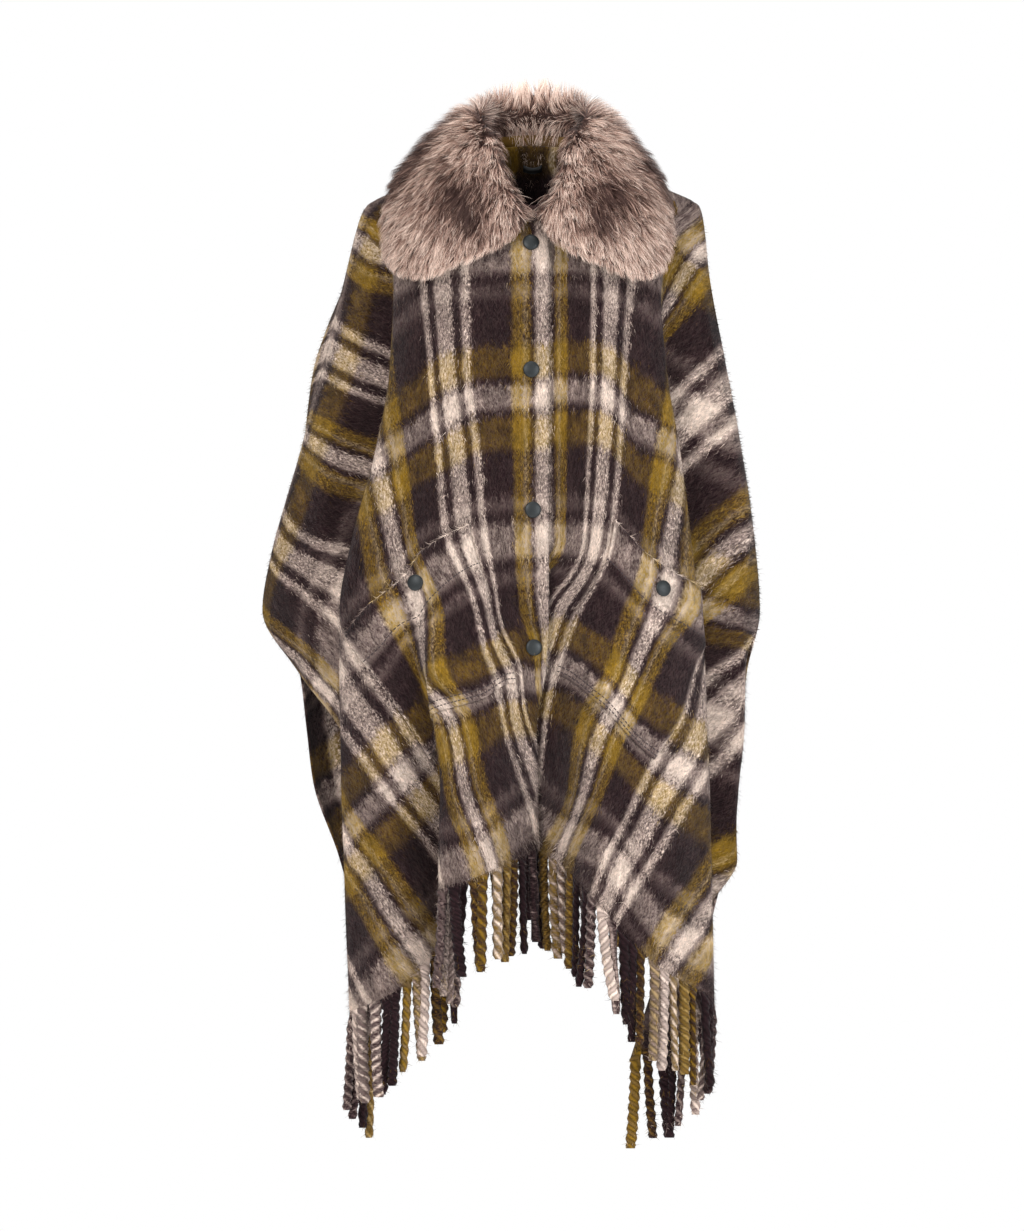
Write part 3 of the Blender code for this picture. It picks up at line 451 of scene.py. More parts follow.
# The crown of the centre back: middle, flat half width, height, slope beside it, spread and fade
CROWN_MIDDLE = 14.0
CROWN_FLAT = 30.0
CROWN_LEVEL = 58.0
CROWN_SLOPE = 0.45
CROWN_SPREAD = 88.0
CROWN_FADE = 24.0
# The roll inside the back neck: middle, half width, how far it stands out, and the hollows on both sides,
# where shade is painted into the pile
ROLL_MIDDLE = 4.0
ROLL_HALF = 36.0
ROLL_OVER = 14.0
ROLL_FADE = 8.0
HOLLOW_HALF = 28.0
HOLLOW_TOP = 64.0
HOLLOW_FADE = 10.0
# Painted shade on the pile that turns away over each shoulder: where it starts as (across, height, slope),
# and its fades
SHOULDER_RIGHT = (-72, 68, 0.764)
SHOULDER_LEFT = (66, 88, 0.632)
SHOULDER_FADE = 9.0
SHOULDER_START = 0.3
SHOULDER_LOW = (-48, 16)
SHOULDER_DEEP = (45, -30)
# Lower end of the neck opening: middle, width, depth, and the height where it starts with its fade
OPENING_MIDDLE = -6.0
OPENING_WIDTH = 20.0
OPENING_DEPTH = -50.0
OPENING_HIGH = (-15, -15)
# How the pile lies: where the front starts with its fade, and the height where it parts inside the neck
FLOW_FRONT = (10, -50)
FLOW_PART = (64, 20)
FLOW_OUT = (0.9, 0.62)
FLOW_DOWN = (0.6, 0.4)
# Slow waves of light and dark: their scale per millimetre, then step, swing and bend of each wave
MOTTLE_SCALE = 0.11
MOTTLE_ACROSS = (1.3, 2.1, 0.7)
MOTTLE_DOWN = (1.7, 1.3, 1.9)
# Where fur grows: its weight by facing out, by facing up and at least, then inside the neck and how far under
GROW_OUT = 0.6
GROW_UP = 0.8
GROW_BASE = 0.5
GROW_INSIDE = 0.7
GROW_UNDER = -0.5
# Dark patches of the fur: (across, height, size), in millimetres
FUR_PATCHES = ((-80, -36, 34), (-70, -58, 24), (86, -32, 34), (76, -56, 22))

# Base of the fur: where it is sewn on, and how far it is drawn in there, at the crown and in thin places
SEWN_DOWN = -0.4
SEWN_IN = -0.2
SEWN_TOP = 45.0
SEWN_DRAW = 0.15
CROWN_DRAW = 0.75
THIN_DRAW = 0.38
RAY_START = 0.05
MERGE_DISTANCE = 1e-5
SHORTEST_HAIR = 0.45

# Tufts: lean, length and shade, with what the crown, roll, patches, hollows and shoulders change, painted
# light on the roll and painted shade in the hollows and over the shoulders
TUFT_LEAN = 0.19
CROWN_LEAN = 0.1
CROWN_LONGER = 0.25
ROLL_LONGER = 0.25
TUFT_VARY = 0.10
PATCH_DARK = 0.85
MOTTLE_SHARE = 0.13
ROLL_PAINTED_LIGHT = 0.12
HOLLOW_PAINTED_SHADE = 0.5
SHOULDER_PAINTED_SHADE = 0.65
TUFT_RISE = 0.42
TUFT_PULL = 0.25
# Hairs: lean, length, rise, bend, turn and shade
HAIR_LEAN = 0.17
HAIR_LENGTH = (0.7, 1.1)
OPENING_SHORTER = 0.55
HAIR_LIE = 0.86
HAIR_RISE = (0.25, 0.6)
CROWN_RISE = 0.3
STAND_RISE = 0.35
BEND_LIE = 0.3
BEND_RISE = 0.5
BEND_SHARE = 0.55
HAIR_TURN = 0.35
HAIR_SHADE = (0.79, 0.27)
DARKEST_HAIR = 0.05
ROOT_SHADE = 0.35
# Where the pairs of points along a hair are, and how wide it is there; the last point is its tip
HAIR_PAIRS = ((0.0, 0.8), (0.4, 1.0), (0.75, 0.65))
HAIR_LIGHTS = (0.0, 0.0, 0.45, 0.45, 0.8, 0.8, 1.0)
HAIR_LIT = 0.25
HAIR_MAP = ((0.1, 0.05), (0.9, 0.05), (0.1, 0.4), (0.9, 0.4), (0.1, 0.75), (0.9, 0.75), (0.5, 0.98))
HAIR_FACES = ((0, 1, 3, 2), (2, 3, 5, 4))
HAIR_END = (4, 5, 6)

# Which way round each panel's rows run
WALL_TURNS = {"front_right": -1, "front_left": 1, "back": -1}

# Band under the collar, in millimetres
BAND_END = -66.0
BAND_OUT = 9.0
BAND_UP = 13.0
BAND_DROP = 2.0
BAND_WALL = 1.5
# The band's place on the plaid: warp from end to end, and weft behind and in front
BAND_WARP = (0.45, 0.6)
BAND_WEFT_BACK = 0.25
BAND_WEFT_FRONT = 0.55

# Nap: hairs on each panel and their length in millimetres
NAP_HAIRS = 50000
NAP_LENGTH = (4.0, 10.0)
FUZZ_LENGTH = (4.0, 9.0)
NAP_WIDTH = 0.6
NAP_STRAY = (0.03, 0.045)
NAP_RISE = (0.02, 0.3)
NAP_LEAN = 0.3
NAP_MAP = ((0.1, 0.1), (0.9, 0.1), (0.5, 0.9))
# How many times more hairs at the hem, and how far up that reaches
HEM_HAIRS = 5.0
HEM_REACH = 14.0

# Wool: detail per metre of grain, clumps, clouds and crossing fibres, then how fibres lean, taper and show
GRAIN_SCALE = (460.0, 230.0, 1.0)
CLUMP_SCALE = (120.0, 60.0, 1.0)
CLOUD_SCALE = 32.0
FIBRE_SCALE = (430.0, 62.0, 1.0)
FIBRE_SLANTS = (0.42, -0.35)
FIBRE_THIN = 18.0
FIBRE_SHARE = 0.17
# What grain and clumps add: a base, then the weight of each
WARP_FRAY = (-0.085, 0.1, 0.07)
WEFT_FRAY = (-0.11, 0.1, 0.12)
WEAVE_MIX = (WEFT_SHARE - 1.4, 2.1, 0.7)
WOOL_LIGHT = (1.225, -0.95, 0.5)
# What clouds add to the light, and the gain of the nap over the cloth
CLOUD_LIGHT = (0.75, 0.5)
NAP_GAIN = 1.04
WOOL_GAMMA = 2.3
SCREEN_GAMMA = 2.2
# Yarn: grain round and along a strand, and its uneven turns
YARN_APART = 6000.0
YARN_ROUND = 5.0
YARN_ALONG = 400.0
YARN_UNEVEN = (YARN_APART, 48.0, 0.0)
YARN_CLOUDS = 60.0
YARN_FRAY = 0.08
# A base, then weights: of uneven turns, of grain and wave in the plies, and of groove and grain in the light,
# the groove's being painted shade between the plies
YARN_WOBBLE = (-3.0, 6.0)
PLY_MIX = (-0.4, 1.8, 0.3)
YARN_GRAIN_AND_GROOVE_SHADE = (0.4, 0.3, 0.9)

# Detail per metre of thread, metal and ribbon
THREAD_SCALE = 1800.0
SPECK_SCALE = 1400.0
WORN_SCALE = 220.0
RIB_SCALE = 260.0
# Darkest and palest tone of metal, ribbon and floor, with the stops between which they change
SNAP_TONES = ((0.35, (0.008, 0.010, 0.011, 1)), (0.75, (0.018, 0.022, 0.023, 1)))
RIBBON_TONES = ((0.2, (0.003, 0.003, 0.003, 1)), (0.8, (0.010, 0.009, 0.010, 1)))
PAPER_TONES = ((0.3, (0.90, 0.90, 0.90, 1)), (0.7, (0.94, 0.94, 0.94, 1)))
PAPER_SCALE = 3.0
SNAP_ROUGHNESS = (0.3, 0.35)
RIBBON_ROUGHNESS = (0.28, 0.2)

# Camera: what the frame shows at the garment's front, in metres
VIEW_CENTRE = (-0.024, -0.1, -0.518)
VIEW_HEIGHT = 1.416
VIEW_DISTANCE = 14.0
SENSOR = 36.0
CLIP_END = 100.0
FLOOR_LEVEL = -1.42
FLOOR_RADIUS = 3.0
FLOOR_SIDES = 96
WORLD_LIGHT = 0.52
FILL_TINT = (0.93, 0.97, 1.0)
WHITE = (1.0, 1.0, 1.0)
# Lights: name, place, aim, size, power and tint
LIGHTS = (
    ("key", (-1.8, -3.1, 1.3), (0, 0, -0.5), 1.8, 102, WHITE),
    ("fill", (2.8, -2.5, 0.2), (0, 0, -0.55), 2.2, 104, FILL_TINT),
    ("top", (0.0, -0.4, 2.2), (0, 0, -0.4), 1.6, 30, WHITE),
    ("back", (0.6, 3.4, 1.2), (0, 0, -0.45), 2.2, 90, WHITE),
)

random = np.random.default_rng(SEED)


# Smooth curves through named points

def knot_slopes(knots, values):
    """Slopes of smooth curves through the values, along the first axis, that never swing past them."""
    spans = np.diff(knots).reshape((-1,) + (1,) * (values.ndim - 1))
    steps = np.diff(values, axis=0) / spans
    meet = steps[:-1] * steps[1:]
    total = steps[:-1] + steps[1:]
    inner = np.where(meet > 0, 2 * meet / np.where(total == 0, 1, total), 0)
    return np.concatenate([steps[:1], inner, steps[-1:]])


def smooth(knots, values, at):
    """Smooth curves read at many places, straight on beyond their ends; values may differ by place."""
    knots = np.asarray(knots, float)
    at = np.asarray(at, float)
    if values.ndim == 1:
        values = np.repeat(values[:, None], at.size, axis=1)
    slopes = knot_slopes(knots, values)
    flat = at.ravel()
    pick = np.arange(flat.size)
    inside = np.clip(flat, knots[0], knots[-1])
    i = np.clip(np.searchsorted(knots, inside, side="right") - 1, 0, len(knots) - 2)
    span = knots[i + 1] - knots[i]
    t = (inside - knots[i]) / span
    rise = t * t * (3 - 2 * t)
    start = t * (1 - t) ** 2 * span
    end = t * t * (t - 1) * span
    read = values[i, pick] * (1 - rise) + values[i + 1, pick] * rise
    read += slopes[i, pick] * start + slopes[i + 1, pick] * end
    edge = np.where(flat < knots[0], slopes[0, pick], slopes[-1, pick])
    return (read + edge * (flat - inside)).reshape(at.shape)


def read_across(places, lines, place):
    """Both numbers of lines that lie side by side, read at places across them."""
    return tuple(smooth(places, lines[:, k], place.ravel()).reshape(place.shape) for k in (0, 1))


class Table:
    """Pairs of numbers by height for several lines, read smoothly along the lines and across them."""

    def __init__(self, rows, places, side=1):
        ordered = sorted(rows, key=lambda row: row[0])
        self.heights = np.array([row[0] for row in ordered], float)
        self.pairs = np.array([row[1:] for row in ordered], float) * (side, 1)
        self.places = np.array(places, float)

    def lines_at(self, height):
        """Both numbers of every line at the heights given, as (line, 2, place)."""
        found = []
        for k in range(self.pairs.shape[1]):
            found.append([smooth(self.heights, self.pairs[:, k, axis], height) for axis in (0, 1)])
        return np.array(found)

    def read(self, place, height):
        return read_across(self.places, self.lines_at(height.ravel()), place)


class RoundedTable:
    """A panel's shape with its neighbours' nearest lines added, so that arm seams run on smoothly."""

    def __init__(self, own, before=None, after=None):
        self.own = own
        self.before = before
        self.after = after

    def read(self, place, height):
        flat = height.ravel()
        lines = self.own.lines_at(flat)
        places = list(self.own.places)
        if self.before:
            table, line = self.before
            lines = np.concatenate([table.lines_at(flat)[line][None], lines])
            places = [places[0] - 1] + places
        if self.after:
            table, line = self.after
            lines = np.concatenate([lines, table.lines_at(flat)[line][None]])
            places = places + [places[-1] + 1]
        return read_across(places, lines, place)


def joined(*tables):
    """One table from several that share their heights."""
    made = tables[0]
    made.pairs = np.concatenate([t.pairs for t in tables], axis=1)
    made.places = np.concatenate([t.places for t in tables])
    return made


class Panel:
    """A cloth panel: its shape, its plaid and where its sleeve part's plaid takes over."""

    def __init__(self, shape, tops, hems, steps, turn, lobe, sleeves):
        self.shape = shape
        self.tops = np.array(tops, float)
        self.hems = np.array(hems, float)
        self.folds = np.arange(len(tops))
        self.turn = turn
        self.lobe = lobe
        self.sleeves = sleeves
        self.creases = []
        columns = [0.0]
        for i, count in enumerate(steps):
            columns += [i + (k + 1) / count for k in range(count)]
        self.columns = np.array(columns)

    def height(self, place, share):
        top = smooth(self.folds, self.tops, place)
        hem = smooth(self.folds, self.hems, place)
        return top + (hem - top) * share

    def bare(self, place, height):
        x, y = self.shape.read(place, height)
        return np.stack([x, y, height], axis=-1)

    def normal(self, place, height):
        low = np.clip(place - PLACE_STEP, 0, self.folds[-1])
        high = np.clip(place + PLACE_STEP, 0, self.folds[-1])
        along = self.bare(high, height) - self.bare(low, height)
        up = self.bare(place, height + HEIGHT_STEP) - self.bare(place, height - HEIGHT_STEP)
        return unit(np.cross(along, up) * self.turn)

    def spot(self, place, height, lift=0.0):
        """Points on the cloth's middle with its creases, moved out by lift."""
        point = self.bare(place, height)
        normal = self.normal(place, height)
        raised = np.zeros(place.shape) + lift
        for crease in self.creases:
            raised += crease.depth_at(self, point)
        return point + normal * raised[..., None]

    def weave(self, place, height):
        """Warp and weft of the main chart."""
        return self.lobe.read(place, height)


class Crease:
    """A soft trough or ridge between two places on a panel, fading at its ends."""

    def __init__(self, start, end, width, depth):
        self.ends = (start, end)
        self.width = width
        self.depth = depth

    def depth_at(self, panel, point):
        place = np.array([e[0] for e in self.ends], float)
        height = np.array([e[1] for e in self.ends], float)
        first, last = panel.bare(place, height)
        run = last - first
        share = np.clip(((point - first) @ run) / (run @ run), 0, 1)
        away = np.linalg.norm(point - (first + share[..., None] * run), axis=-1)
        inner = share * CREASE_SPAN + (1 - CREASE_SPAN) / 2
        fade = np.sin(math.pi * np.clip(inner, 0, 1)) ** CREASE_BLUNT
        return self.depth * fade * np.exp(-(away / self.width) ** 2)


def unit(v):
    """Vectors of length 1; those of no length stay."""
    return v / np.maximum(np.linalg.norm(v, axis=-1, keepdims=True), LEAST_LENGTH)


def whole_lobe(rows):
    """The back's chart on both sides of its centre, from one half."""
    whole = []
    for row in rows:
        left = [(BACK_CENTRE_WARP + warp, weft) for warp, weft in row[1:]]
        right = [(BACK_CENTRE_WARP - warp, weft) for warp, weft in row[:1:-1]]
        whole.append((row[0],) + tuple(right) + tuple(left))
    return whole


def make_panels():
    """The two fronts and the back, with their plaid and creases."""
    right_shape = Table(FRONT_RIGHT, range(len(FRONT_RIGHT_HEM)), -1)
    left_shape = Table(FRONT_LEFT, range(len(FRONT_LEFT_HEM)))
    centre = len(BACK_RIGHT[0]) - 1
    back_right = Table(BACK_RIGHT, range(centre), -1)
    back_left = Table([(row[0],) + tuple(row[:0:-1]) for row in BACK_LEFT], range(centre, len(BACK_HEM)))
    back_shape = joined(back_right, back_left)
    right = Panel(RoundedTable(right_shape, after=(back_shape, 1)),
                  [FRONT_TOP] * len(FRONT_RIGHT_HEM), FRONT_RIGHT_HEM, FRONT_RIGHT_STEPS, -1,
                  Table(RIGHT_LOBE, RIGHT_LOBE_PLACES, -1),
                  [(RIGHT_SLEEVE_END, Table(RIGHT_SLEEVE, RIGHT_SLEEVE_PLACES, -1))])
    left = Panel(RoundedTable(left_shape, after=(back_shape, -2)),
                 [FRONT_TOP] * len(FRONT_LEFT_HEM), FRONT_LEFT_HEM, FRONT_LEFT_STEPS, 1,
                 Table(LEFT_LOBE, LEFT_LOBE_PLACES),
                 [(LEFT_SLEEVE_END, Table(LEFT_SLEEVE, LEFT_SLEEVE_PLACES))])
    bottom = min(BACK_HEM) - 1
    back = Panel(RoundedTable(back_shape, before=(right_shape, -2), after=(left_shape, -2)),
                 BACK_TOP, BACK_HEM, BACK_STEPS, -1,
                 Table(whole_lobe(BACK_LOBE_HALF), BACK_LOBE_PLACES),
                 [(bottom, Table(BACK_SLEEVE_RIGHT, BACK_SLEEVE_RIGHT_PLACES, -1)),
                  (bottom, Table(BACK_SLEEVE_LEFT, BACK_SLEEVE_LEFT_PLACES))])
    for panel, creases in ((right, RIGHT_CREASES), (left, LEFT_CREASES), (back, BACK_CREASES)):
        panel.creases = [Crease(*row) for row in creases]
    return right, left, back


# Meshes from arrays

def add_piece(name, points, faces, look):
    """A smooth mesh object from millimetre points, carried by the one body."""
    mesh = bpy.data.meshes.new(name)
    mesh.from_pydata((np.asarray(points) * MM).tolist(), [], faces)
    mesh.materials.append(look)
    mesh.shade_smooth()
    piece = bpy.data.objects.new(name, mesh)
    bpy.context.scene.collection.objects.link(piece)
    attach(piece, "root")
    return piece


def put_map(mesh, name, corners):
    """A map with one pair of numbers for each face corner."""
    layer = mesh.uv_layers.new(name=name)
    layer.data.foreach_set("uv", np.asarray(corners, np.float32).ravel())


def grid_quads(rows, columns):
    """Corner numbers of a grid's faces."""
    r, c = np.meshgrid(np.arange(rows - 1), np.arange(columns - 1), indexing="ij")
    corner = (r * columns + c).ravel()
    return np.stack([corner, corner + 1, corner + columns + 1, corner + columns], axis=1)


def rim_loop(rows, columns):
    """Point numbers once round a grid's edge."""
    top = list(range(columns))
    right = [r * columns + columns - 1 for r in range(1, rows)]
    bottom = [(rows - 1) * columns + c for c in range(columns - 2, -1, -1)]
    left = [r * columns for r in range(rows - 2, 0, -1)]
    return top + right + bottom + left


def outward(mesh):
    """Turns a closed mesh's faces outwards."""
    work = bmesh.new()
    work.from_mesh(mesh)
    bmesh.ops.recalc_face_normals(work, faces=work.faces)
    work.to_mesh(mesh)
    work.free()


def tube_faces(rings, sides, first=0):
    """Faces of a tube with flat ends, from rings of points that follow each other."""
    faces = []
    for start in range(first, first + (rings - 1) * sides, sides):
        for i in range(sides):
            j = (i + 1) % sides
            faces.append((start + i, start + j, start + sides + j, start + sides + i))
    last = first + (rings - 1) * sides
    return faces + [tuple(range(first, first + sides)), tuple(range(last, last + sides))]


class Grid:
    """Points and normals in rows and columns."""

    def lifted(self, distance):
        return (self.point + self.normal * distance).reshape(-1, 3)


class Shell(Grid):
    """Grids of a panel: places, heights, points, normals and plaid, with the chart that each face reads."""

    def __init__(self, panel):
        shares = np.linspace(0, 1, ROWS)
        self.place = np.repeat(panel.columns[None], ROWS, axis=0)
        self.height = panel.height(self.place, np.repeat(shares[:, None], len(panel.columns), axis=1))
        self.normal = panel.normal(self.place, self.height)
        self.point = panel.spot(self.place, self.height)
        self.charts = [np.stack(panel.weave(self.place, self.height), axis=-1)]
        rows, columns = self.place.shape
        self.quads = grid_quads(rows, columns)
        middle_place = self.place.ravel()[self.quads].mean(axis=1)
        middle_height = self.height.ravel()[self.quads].mean(axis=1)
        self.chart_of = np.zeros(len(self.quads), int)
        for k, (end, table) in enumerate(panel.sleeves):
            self.charts.append(np.stack(table.read(self.place, self.height), axis=-1))
            inside = (middle_place > table.places[0]) & (middle_place < table.places[-1])
            self.chart_of[inside & (middle_height > end)] = k + 1
        stacked = np.stack([chart.reshape(-1, 2) for chart in self.charts])
        self.corners = stacked[self.chart_of[:, None], self.quads]


def make_wall(name, node, shell, thick, look, turn):
    """A thin closed wall on a grid, with the plaid's map on both faces."""
    rows, columns = shell.place.shape
    count = rows * columns
    points = np.concatenate([shell.lifted(thick / 2), shell.lifted(-thick / 2)])
    outer = shell.quads if turn > 0 else shell.quads[:, ::-1]
    outer_map = shell.corners if turn > 0 else shell.corners[:, ::-1]
    inner = outer[:, ::-1] + count
    inner_map = outer_map[:, ::-1]
    rim = rim_loop(rows, columns)
    edge = np.array([(b, a, count + a, count + b) for a, b in zip(rim, rim[1:] + rim[:1])])
    edge = edge if turn > 0 else edge[:, ::-1]
    nearest = {}
    for quad, corner in zip(shell.quads, shell.corners):
        for index, pair in zip(quad, corner):
            nearest[index] = pair
    edge_map = np.array([[nearest[i % count] for i in quad] for quad in edge])
    faces = np.concatenate([outer, inner, edge])
    piece = add_piece(name, points, faces.tolist(), look)
    put_map(piece.data, "cloth", np.concatenate([outer_map, inner_map, edge_map]))
    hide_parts(node)
    return piece


# Pockets

def find_weave(panel, shell, warp, weft, last):
    """Fold positions up to the last one, and heights, where the main chart has this warp and weft."""
    chart = shell.charts[0].reshape(-1, 2)
    usable = np.flatnonzero(shell.place.ravel() <= last)
    place = np.empty(warp.shape)
    height = np.empty(warp.shape)
    for index in np.ndindex(warp.shape):
        away = (chart[usable, 0] - warp[index]) ** 2 + (chart[usable, 1] - weft[index]) ** 2
        best = usable[np.argmin(away)]
        place[index] = shell.place.ravel()[best]
        height[index] = shell.height.ravel()[best]
    for _ in range(SEARCH_TURNS):
        u, v = panel.weave(place, height)
        u_place, v_place = panel.weave(place + SEARCH_STEP, height)
        u_rise, v_rise = panel.weave(place, height + SEARCH_RISE)
        a, b = (u_place - u) / SEARCH_STEP, (u_rise - u) / SEARCH_RISE
        c, d = (v_place - v) / SEARCH_STEP, (v_rise - v) / SEARCH_RISE
        size = a * d - b * c
        size = np.where(np.abs(size) < LEAST_SLOPE, LEAST_SLOPE, size)
        place += np.clip((d * (warp - u) - b * (weft - v)) / size, -PLACE_MOVE, PLACE_MOVE)
        height += np.clip((a * (weft - v) - c * (warp - u)) / size, -HEIGHT_MOVE, HEIGHT_MOVE)
        place = np.clip(place, 0, last)
    return place, height


class Patch(Grid):
    """Grids of a pocket: a straight piece of the plaid laid on its front."""

    def __init__(self, panel, shell, patch, last):
        (first_warp, last_warp), (top, bottom), shift = patch
        columns, rows = POCKET_CELLS
        warp, weft = np.meshgrid(np.linspace(first_warp, last_warp, columns), np.linspace(top, bottom, rows))
        self.place, self.height = find_weave(panel, shell, warp, weft, last)
        self.normal = panel.normal(self.place, self.height)
        across = np.linspace(0, 1, columns)[None]
        down = np.linspace(0, 1, rows)[:, None]
        gape = POCKET_MOUTH * np.sin(math.pi * across) * np.exp(-(down / MOUTH_SHARE) ** 2)
        lift = WALL / 2 + POCKET_GAP + POCKET_WALL / 2 + gape
        self.point = panel.spot(self.place, self.height, lift)
        self.quads = grid_quads(rows, columns)
        self.chart = np.stack([warp + shift[0], weft + shift[1]], axis=-1)
        self.corners = self.chart.reshape(-1, 2)[self.quads]


# Stitches

def make_stitches(node, panel, shell, where, last, look):
    """Rows of short raised stitches: one under the pocket's mouth and two along its bottom."""
    (first_warp, last_warp), (top, bottom), _ = where
    count = int(abs(last_warp - first_warp) * WARP_HALF / STITCH_STEP)
    marks = (STITCH_START, STITCH_START + STITCH_SHARE / 2, STITCH_START + STITCH_SHARE)
    warp = first_warp + (last_warp - first_warp) * (np.arange(count)[:, None] + marks) / count
    lift = WALL / 2 + POCKET_GAP + POCKET_WALL + STITCH_LIFT
    points, faces = [], []
    for weft in (top + FACING_DEPTH / WEFT_HALF, *(bottom - gap / WEFT_HALF for gap in BOTTOM_ROWS)):
        place, height = find_weave(panel, shell, warp, np.full(warp.shape, weft), last)
        middle = panel.spot(place, height, lift)
        normal = panel.normal(place, height)
        side = unit(np.cross(middle[:, 2:] - middle[:, :1], normal)) * STITCH_WIDE / 2
        raised = middle + normal * (np.array(STITCH_ARCH) * STITCH_HIGH)[:, None]
        rings = np.stack([middle - side, middle + side, raised + side, raised - side], axis=2)
        for stitch in rings:
            faces += tube_faces(len(marks), 4, len(points))
            points += stitch.reshape(-1, 3).tolist()
    piece = add_piece("stitches_" + node, points, faces, look)
    outward(piece.data)
    return piece


# Fringe

def hem_roots(shell):
    """Where strands leave a hem: points, normals, directions along it, plaid numbers and the hem's slope."""
    hem = shell.point[-1]
    lengths = np.concatenate([[0], np.cumsum(np.linalg.norm(np.diff(hem, axis=0), axis=1))])
    count = int(lengths[-1] // STRAND_PITCH)
    jitter = random.uniform(-STRAND_JITTER, STRAND_JITTER, count)
    marks = (np.arange(count) + 0.5 + jitter) * lengths[-1] / count
    i = np.clip(np.searchsorted(lengths, marks) - 1, 0, len(hem) - 2)
    share = ((marks - lengths[i]) / (lengths[i + 1] - lengths[i]))[:, None]
    point = hem[i] * (1 - share) + hem[i + 1] * share
    turn = unit(shell.normal[-1][i] * (1, 1, 0))
    along = np.cross(turn, (0, 0, 1))
    run = hem[i + 1] - hem[i]
    across = (run * along).sum(axis=1)
    slope = run[:, 2] / np.where(np.abs(across) < HEM_RUN, HEM_RUN, across)
    last_row = shell.corners[-(len(hem) - 1):]
    plaid = last_row[i, 3] * (1 - share) + last_row[i, 2] * share
    return point, turn, along, plaid, np.clip(slope, -HEM_SLOPE, HEM_SLOPE)


class Strand:
    """Rings of one strand from the hem down: flat and slanted at its root, round and twisted below."""

    def __init__(self, point, turn, along, plaid, slope):
        self.twist = random.choice(STRAND_TURNS) * random.uniform(*STRAND_TIGHT)
        sway = random.normal(0, STRAND_SWAY)
        length = STRAND_LENGTH + random.uniform(*STRAND_LONGER)
        radius = STRAND_RADIUS * random.uniform(*STRAND_THICKER)
        self.plaid = plaid
        self.down = np.linspace(0, length, STRAND_RINGS)
        flat = np.clip(1 - self.down / ROOT_SPREAD, 0, 1)
        flat = flat * flat * (3 - 2 * flat)
        end = np.clip((length - self.down) / END_LENGTH, END_LEAST, 1) ** END_CURVE
        angles = 2 * math.pi * np.arange(STRAND_SIDES) / STRAND_SIDES
        turned = 2 * math.pi * self.down / TWIST_PITCH * self.twist
        ripple = 1 + STRAND_RELIEF * np.cos(2 * (angles - turned[:, None])) * (1 - flat[:, None])
        half = (radius * (1 - flat) + (STRAND_PITCH / 2 + ROOT_LAP) * flat) * end
        deep = (radius * STRAND_FLATNESS * (1 - flat) + WALL / 2 * flat) * end
        bend = (self.down / length) ** SWAY_CURVE
        centre = point + np.outer(self.down + STRIP_DROP, (0, 0, -1))
        centre = centre + np.outer(bend * sway[0], along) + np.outer(bend * sway[1], turn)
        side = np.cos(angles) * half[:, None] * ripple
        out = np.sin(angles) * deep[:, None] * ripple
        self.outward = np.cos(angles)[:, None] * along + np.sin(angles)[:, None] * turn
        self.rings = centre[:, None] + side[..., None] * along + out[..., None] * turn
        self.rings[..., 2] += side * slope * flat[:, None]

    def faces(self, first):
        """Faces, and for each of their corners the plaid's numbers and the twist's."""
        r, k = np.meshgrid(np.arange(STRAND_RINGS - 1), np.arange(STRAND_SIDES), indexing="ij")
        down = np.stack([self.down[r], self.down[r], self.down[r + 1], self.down[r + 1]], axis=-1).ravel()
        angle = np.stack([k, k + 1, k + 1, k], axis=-1).ravel() / STRAND_SIDES
        cloth = np.stack([np.full(down.shape, self.plaid[0]), self.plaid[1] + down / WEFT_HALF], axis=-1)
        turns = np.stack([angle, down / TWIST_PITCH * self.twist], axis=-1)
        ends = 2 * STRAND_SIDES
        cloth = np.concatenate([cloth, np.repeat([self.plaid], ends, axis=0)])
        turns = np.concatenate([turns, np.zeros((ends, 2))])
        return tube_faces(STRAND_RINGS, STRAND_SIDES, first), cloth, turns

    def fuzz(self):
        """Roots, normals, directions and plaid numbers of short hairs on the strand."""
        ring = random.integers(FUZZ_FIRST, STRAND_RINGS - 1, STRAND_FUZZ)
        k = random.integers(0, STRAND_SIDES, STRAND_FUZZ)
        normal = self.outward[k]
        rise = normal * random.uniform(*FUZZ_RISE, (STRAND_FUZZ, 1))
        lie = unit(rise + random.normal(0, FUZZ_STRAY, normal.shape) - (0, 0, FUZZ_DROOP))
        warp = self.plaid[0] + random.uniform(-FUZZ_REACH, FUZZ_REACH, STRAND_FUZZ) * PLY_WARP
        weft = self.plaid[1] + self.down[ring] / WEFT_HALF
        return self.rings[ring, k], normal, lie, np.stack([warp, weft], axis=-1)


def make_fringe(name, node, strands, look):
    """Twisted strands along one hem."""
    points, faces, cloth, turns = [], [], [], []
    for k, strand in enumerate(strands):
        own_faces, own_cloth, own_turns = strand.faces(k * STRAND_RINGS * STRAND_SIDES)
        points.append(strand.rings.reshape(-1, 3))
        faces += own_faces
        cloth.append(own_cloth)
        turns.append(own_turns)
    piece = add_piece(name, np.concatenate(points), faces, look)
    put_map(piece.data, "cloth", np.concatenate(cloth))
    put_map(piece.data, "twist", np.concatenate(turns))
    outward(piece.data)
    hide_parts(node)
    return piece


# Snaps and hanger loop

def find_place(panel, out, height, side, last):
    """First fold position whose distance out from the centre is as asked."""
    place = np.arange(0, last, SEARCH_STEP)
    across = side * panel.bare(place, np.full(place.shape, float(height)))[:, 0]
    return place[np.argmax(across >= out)]


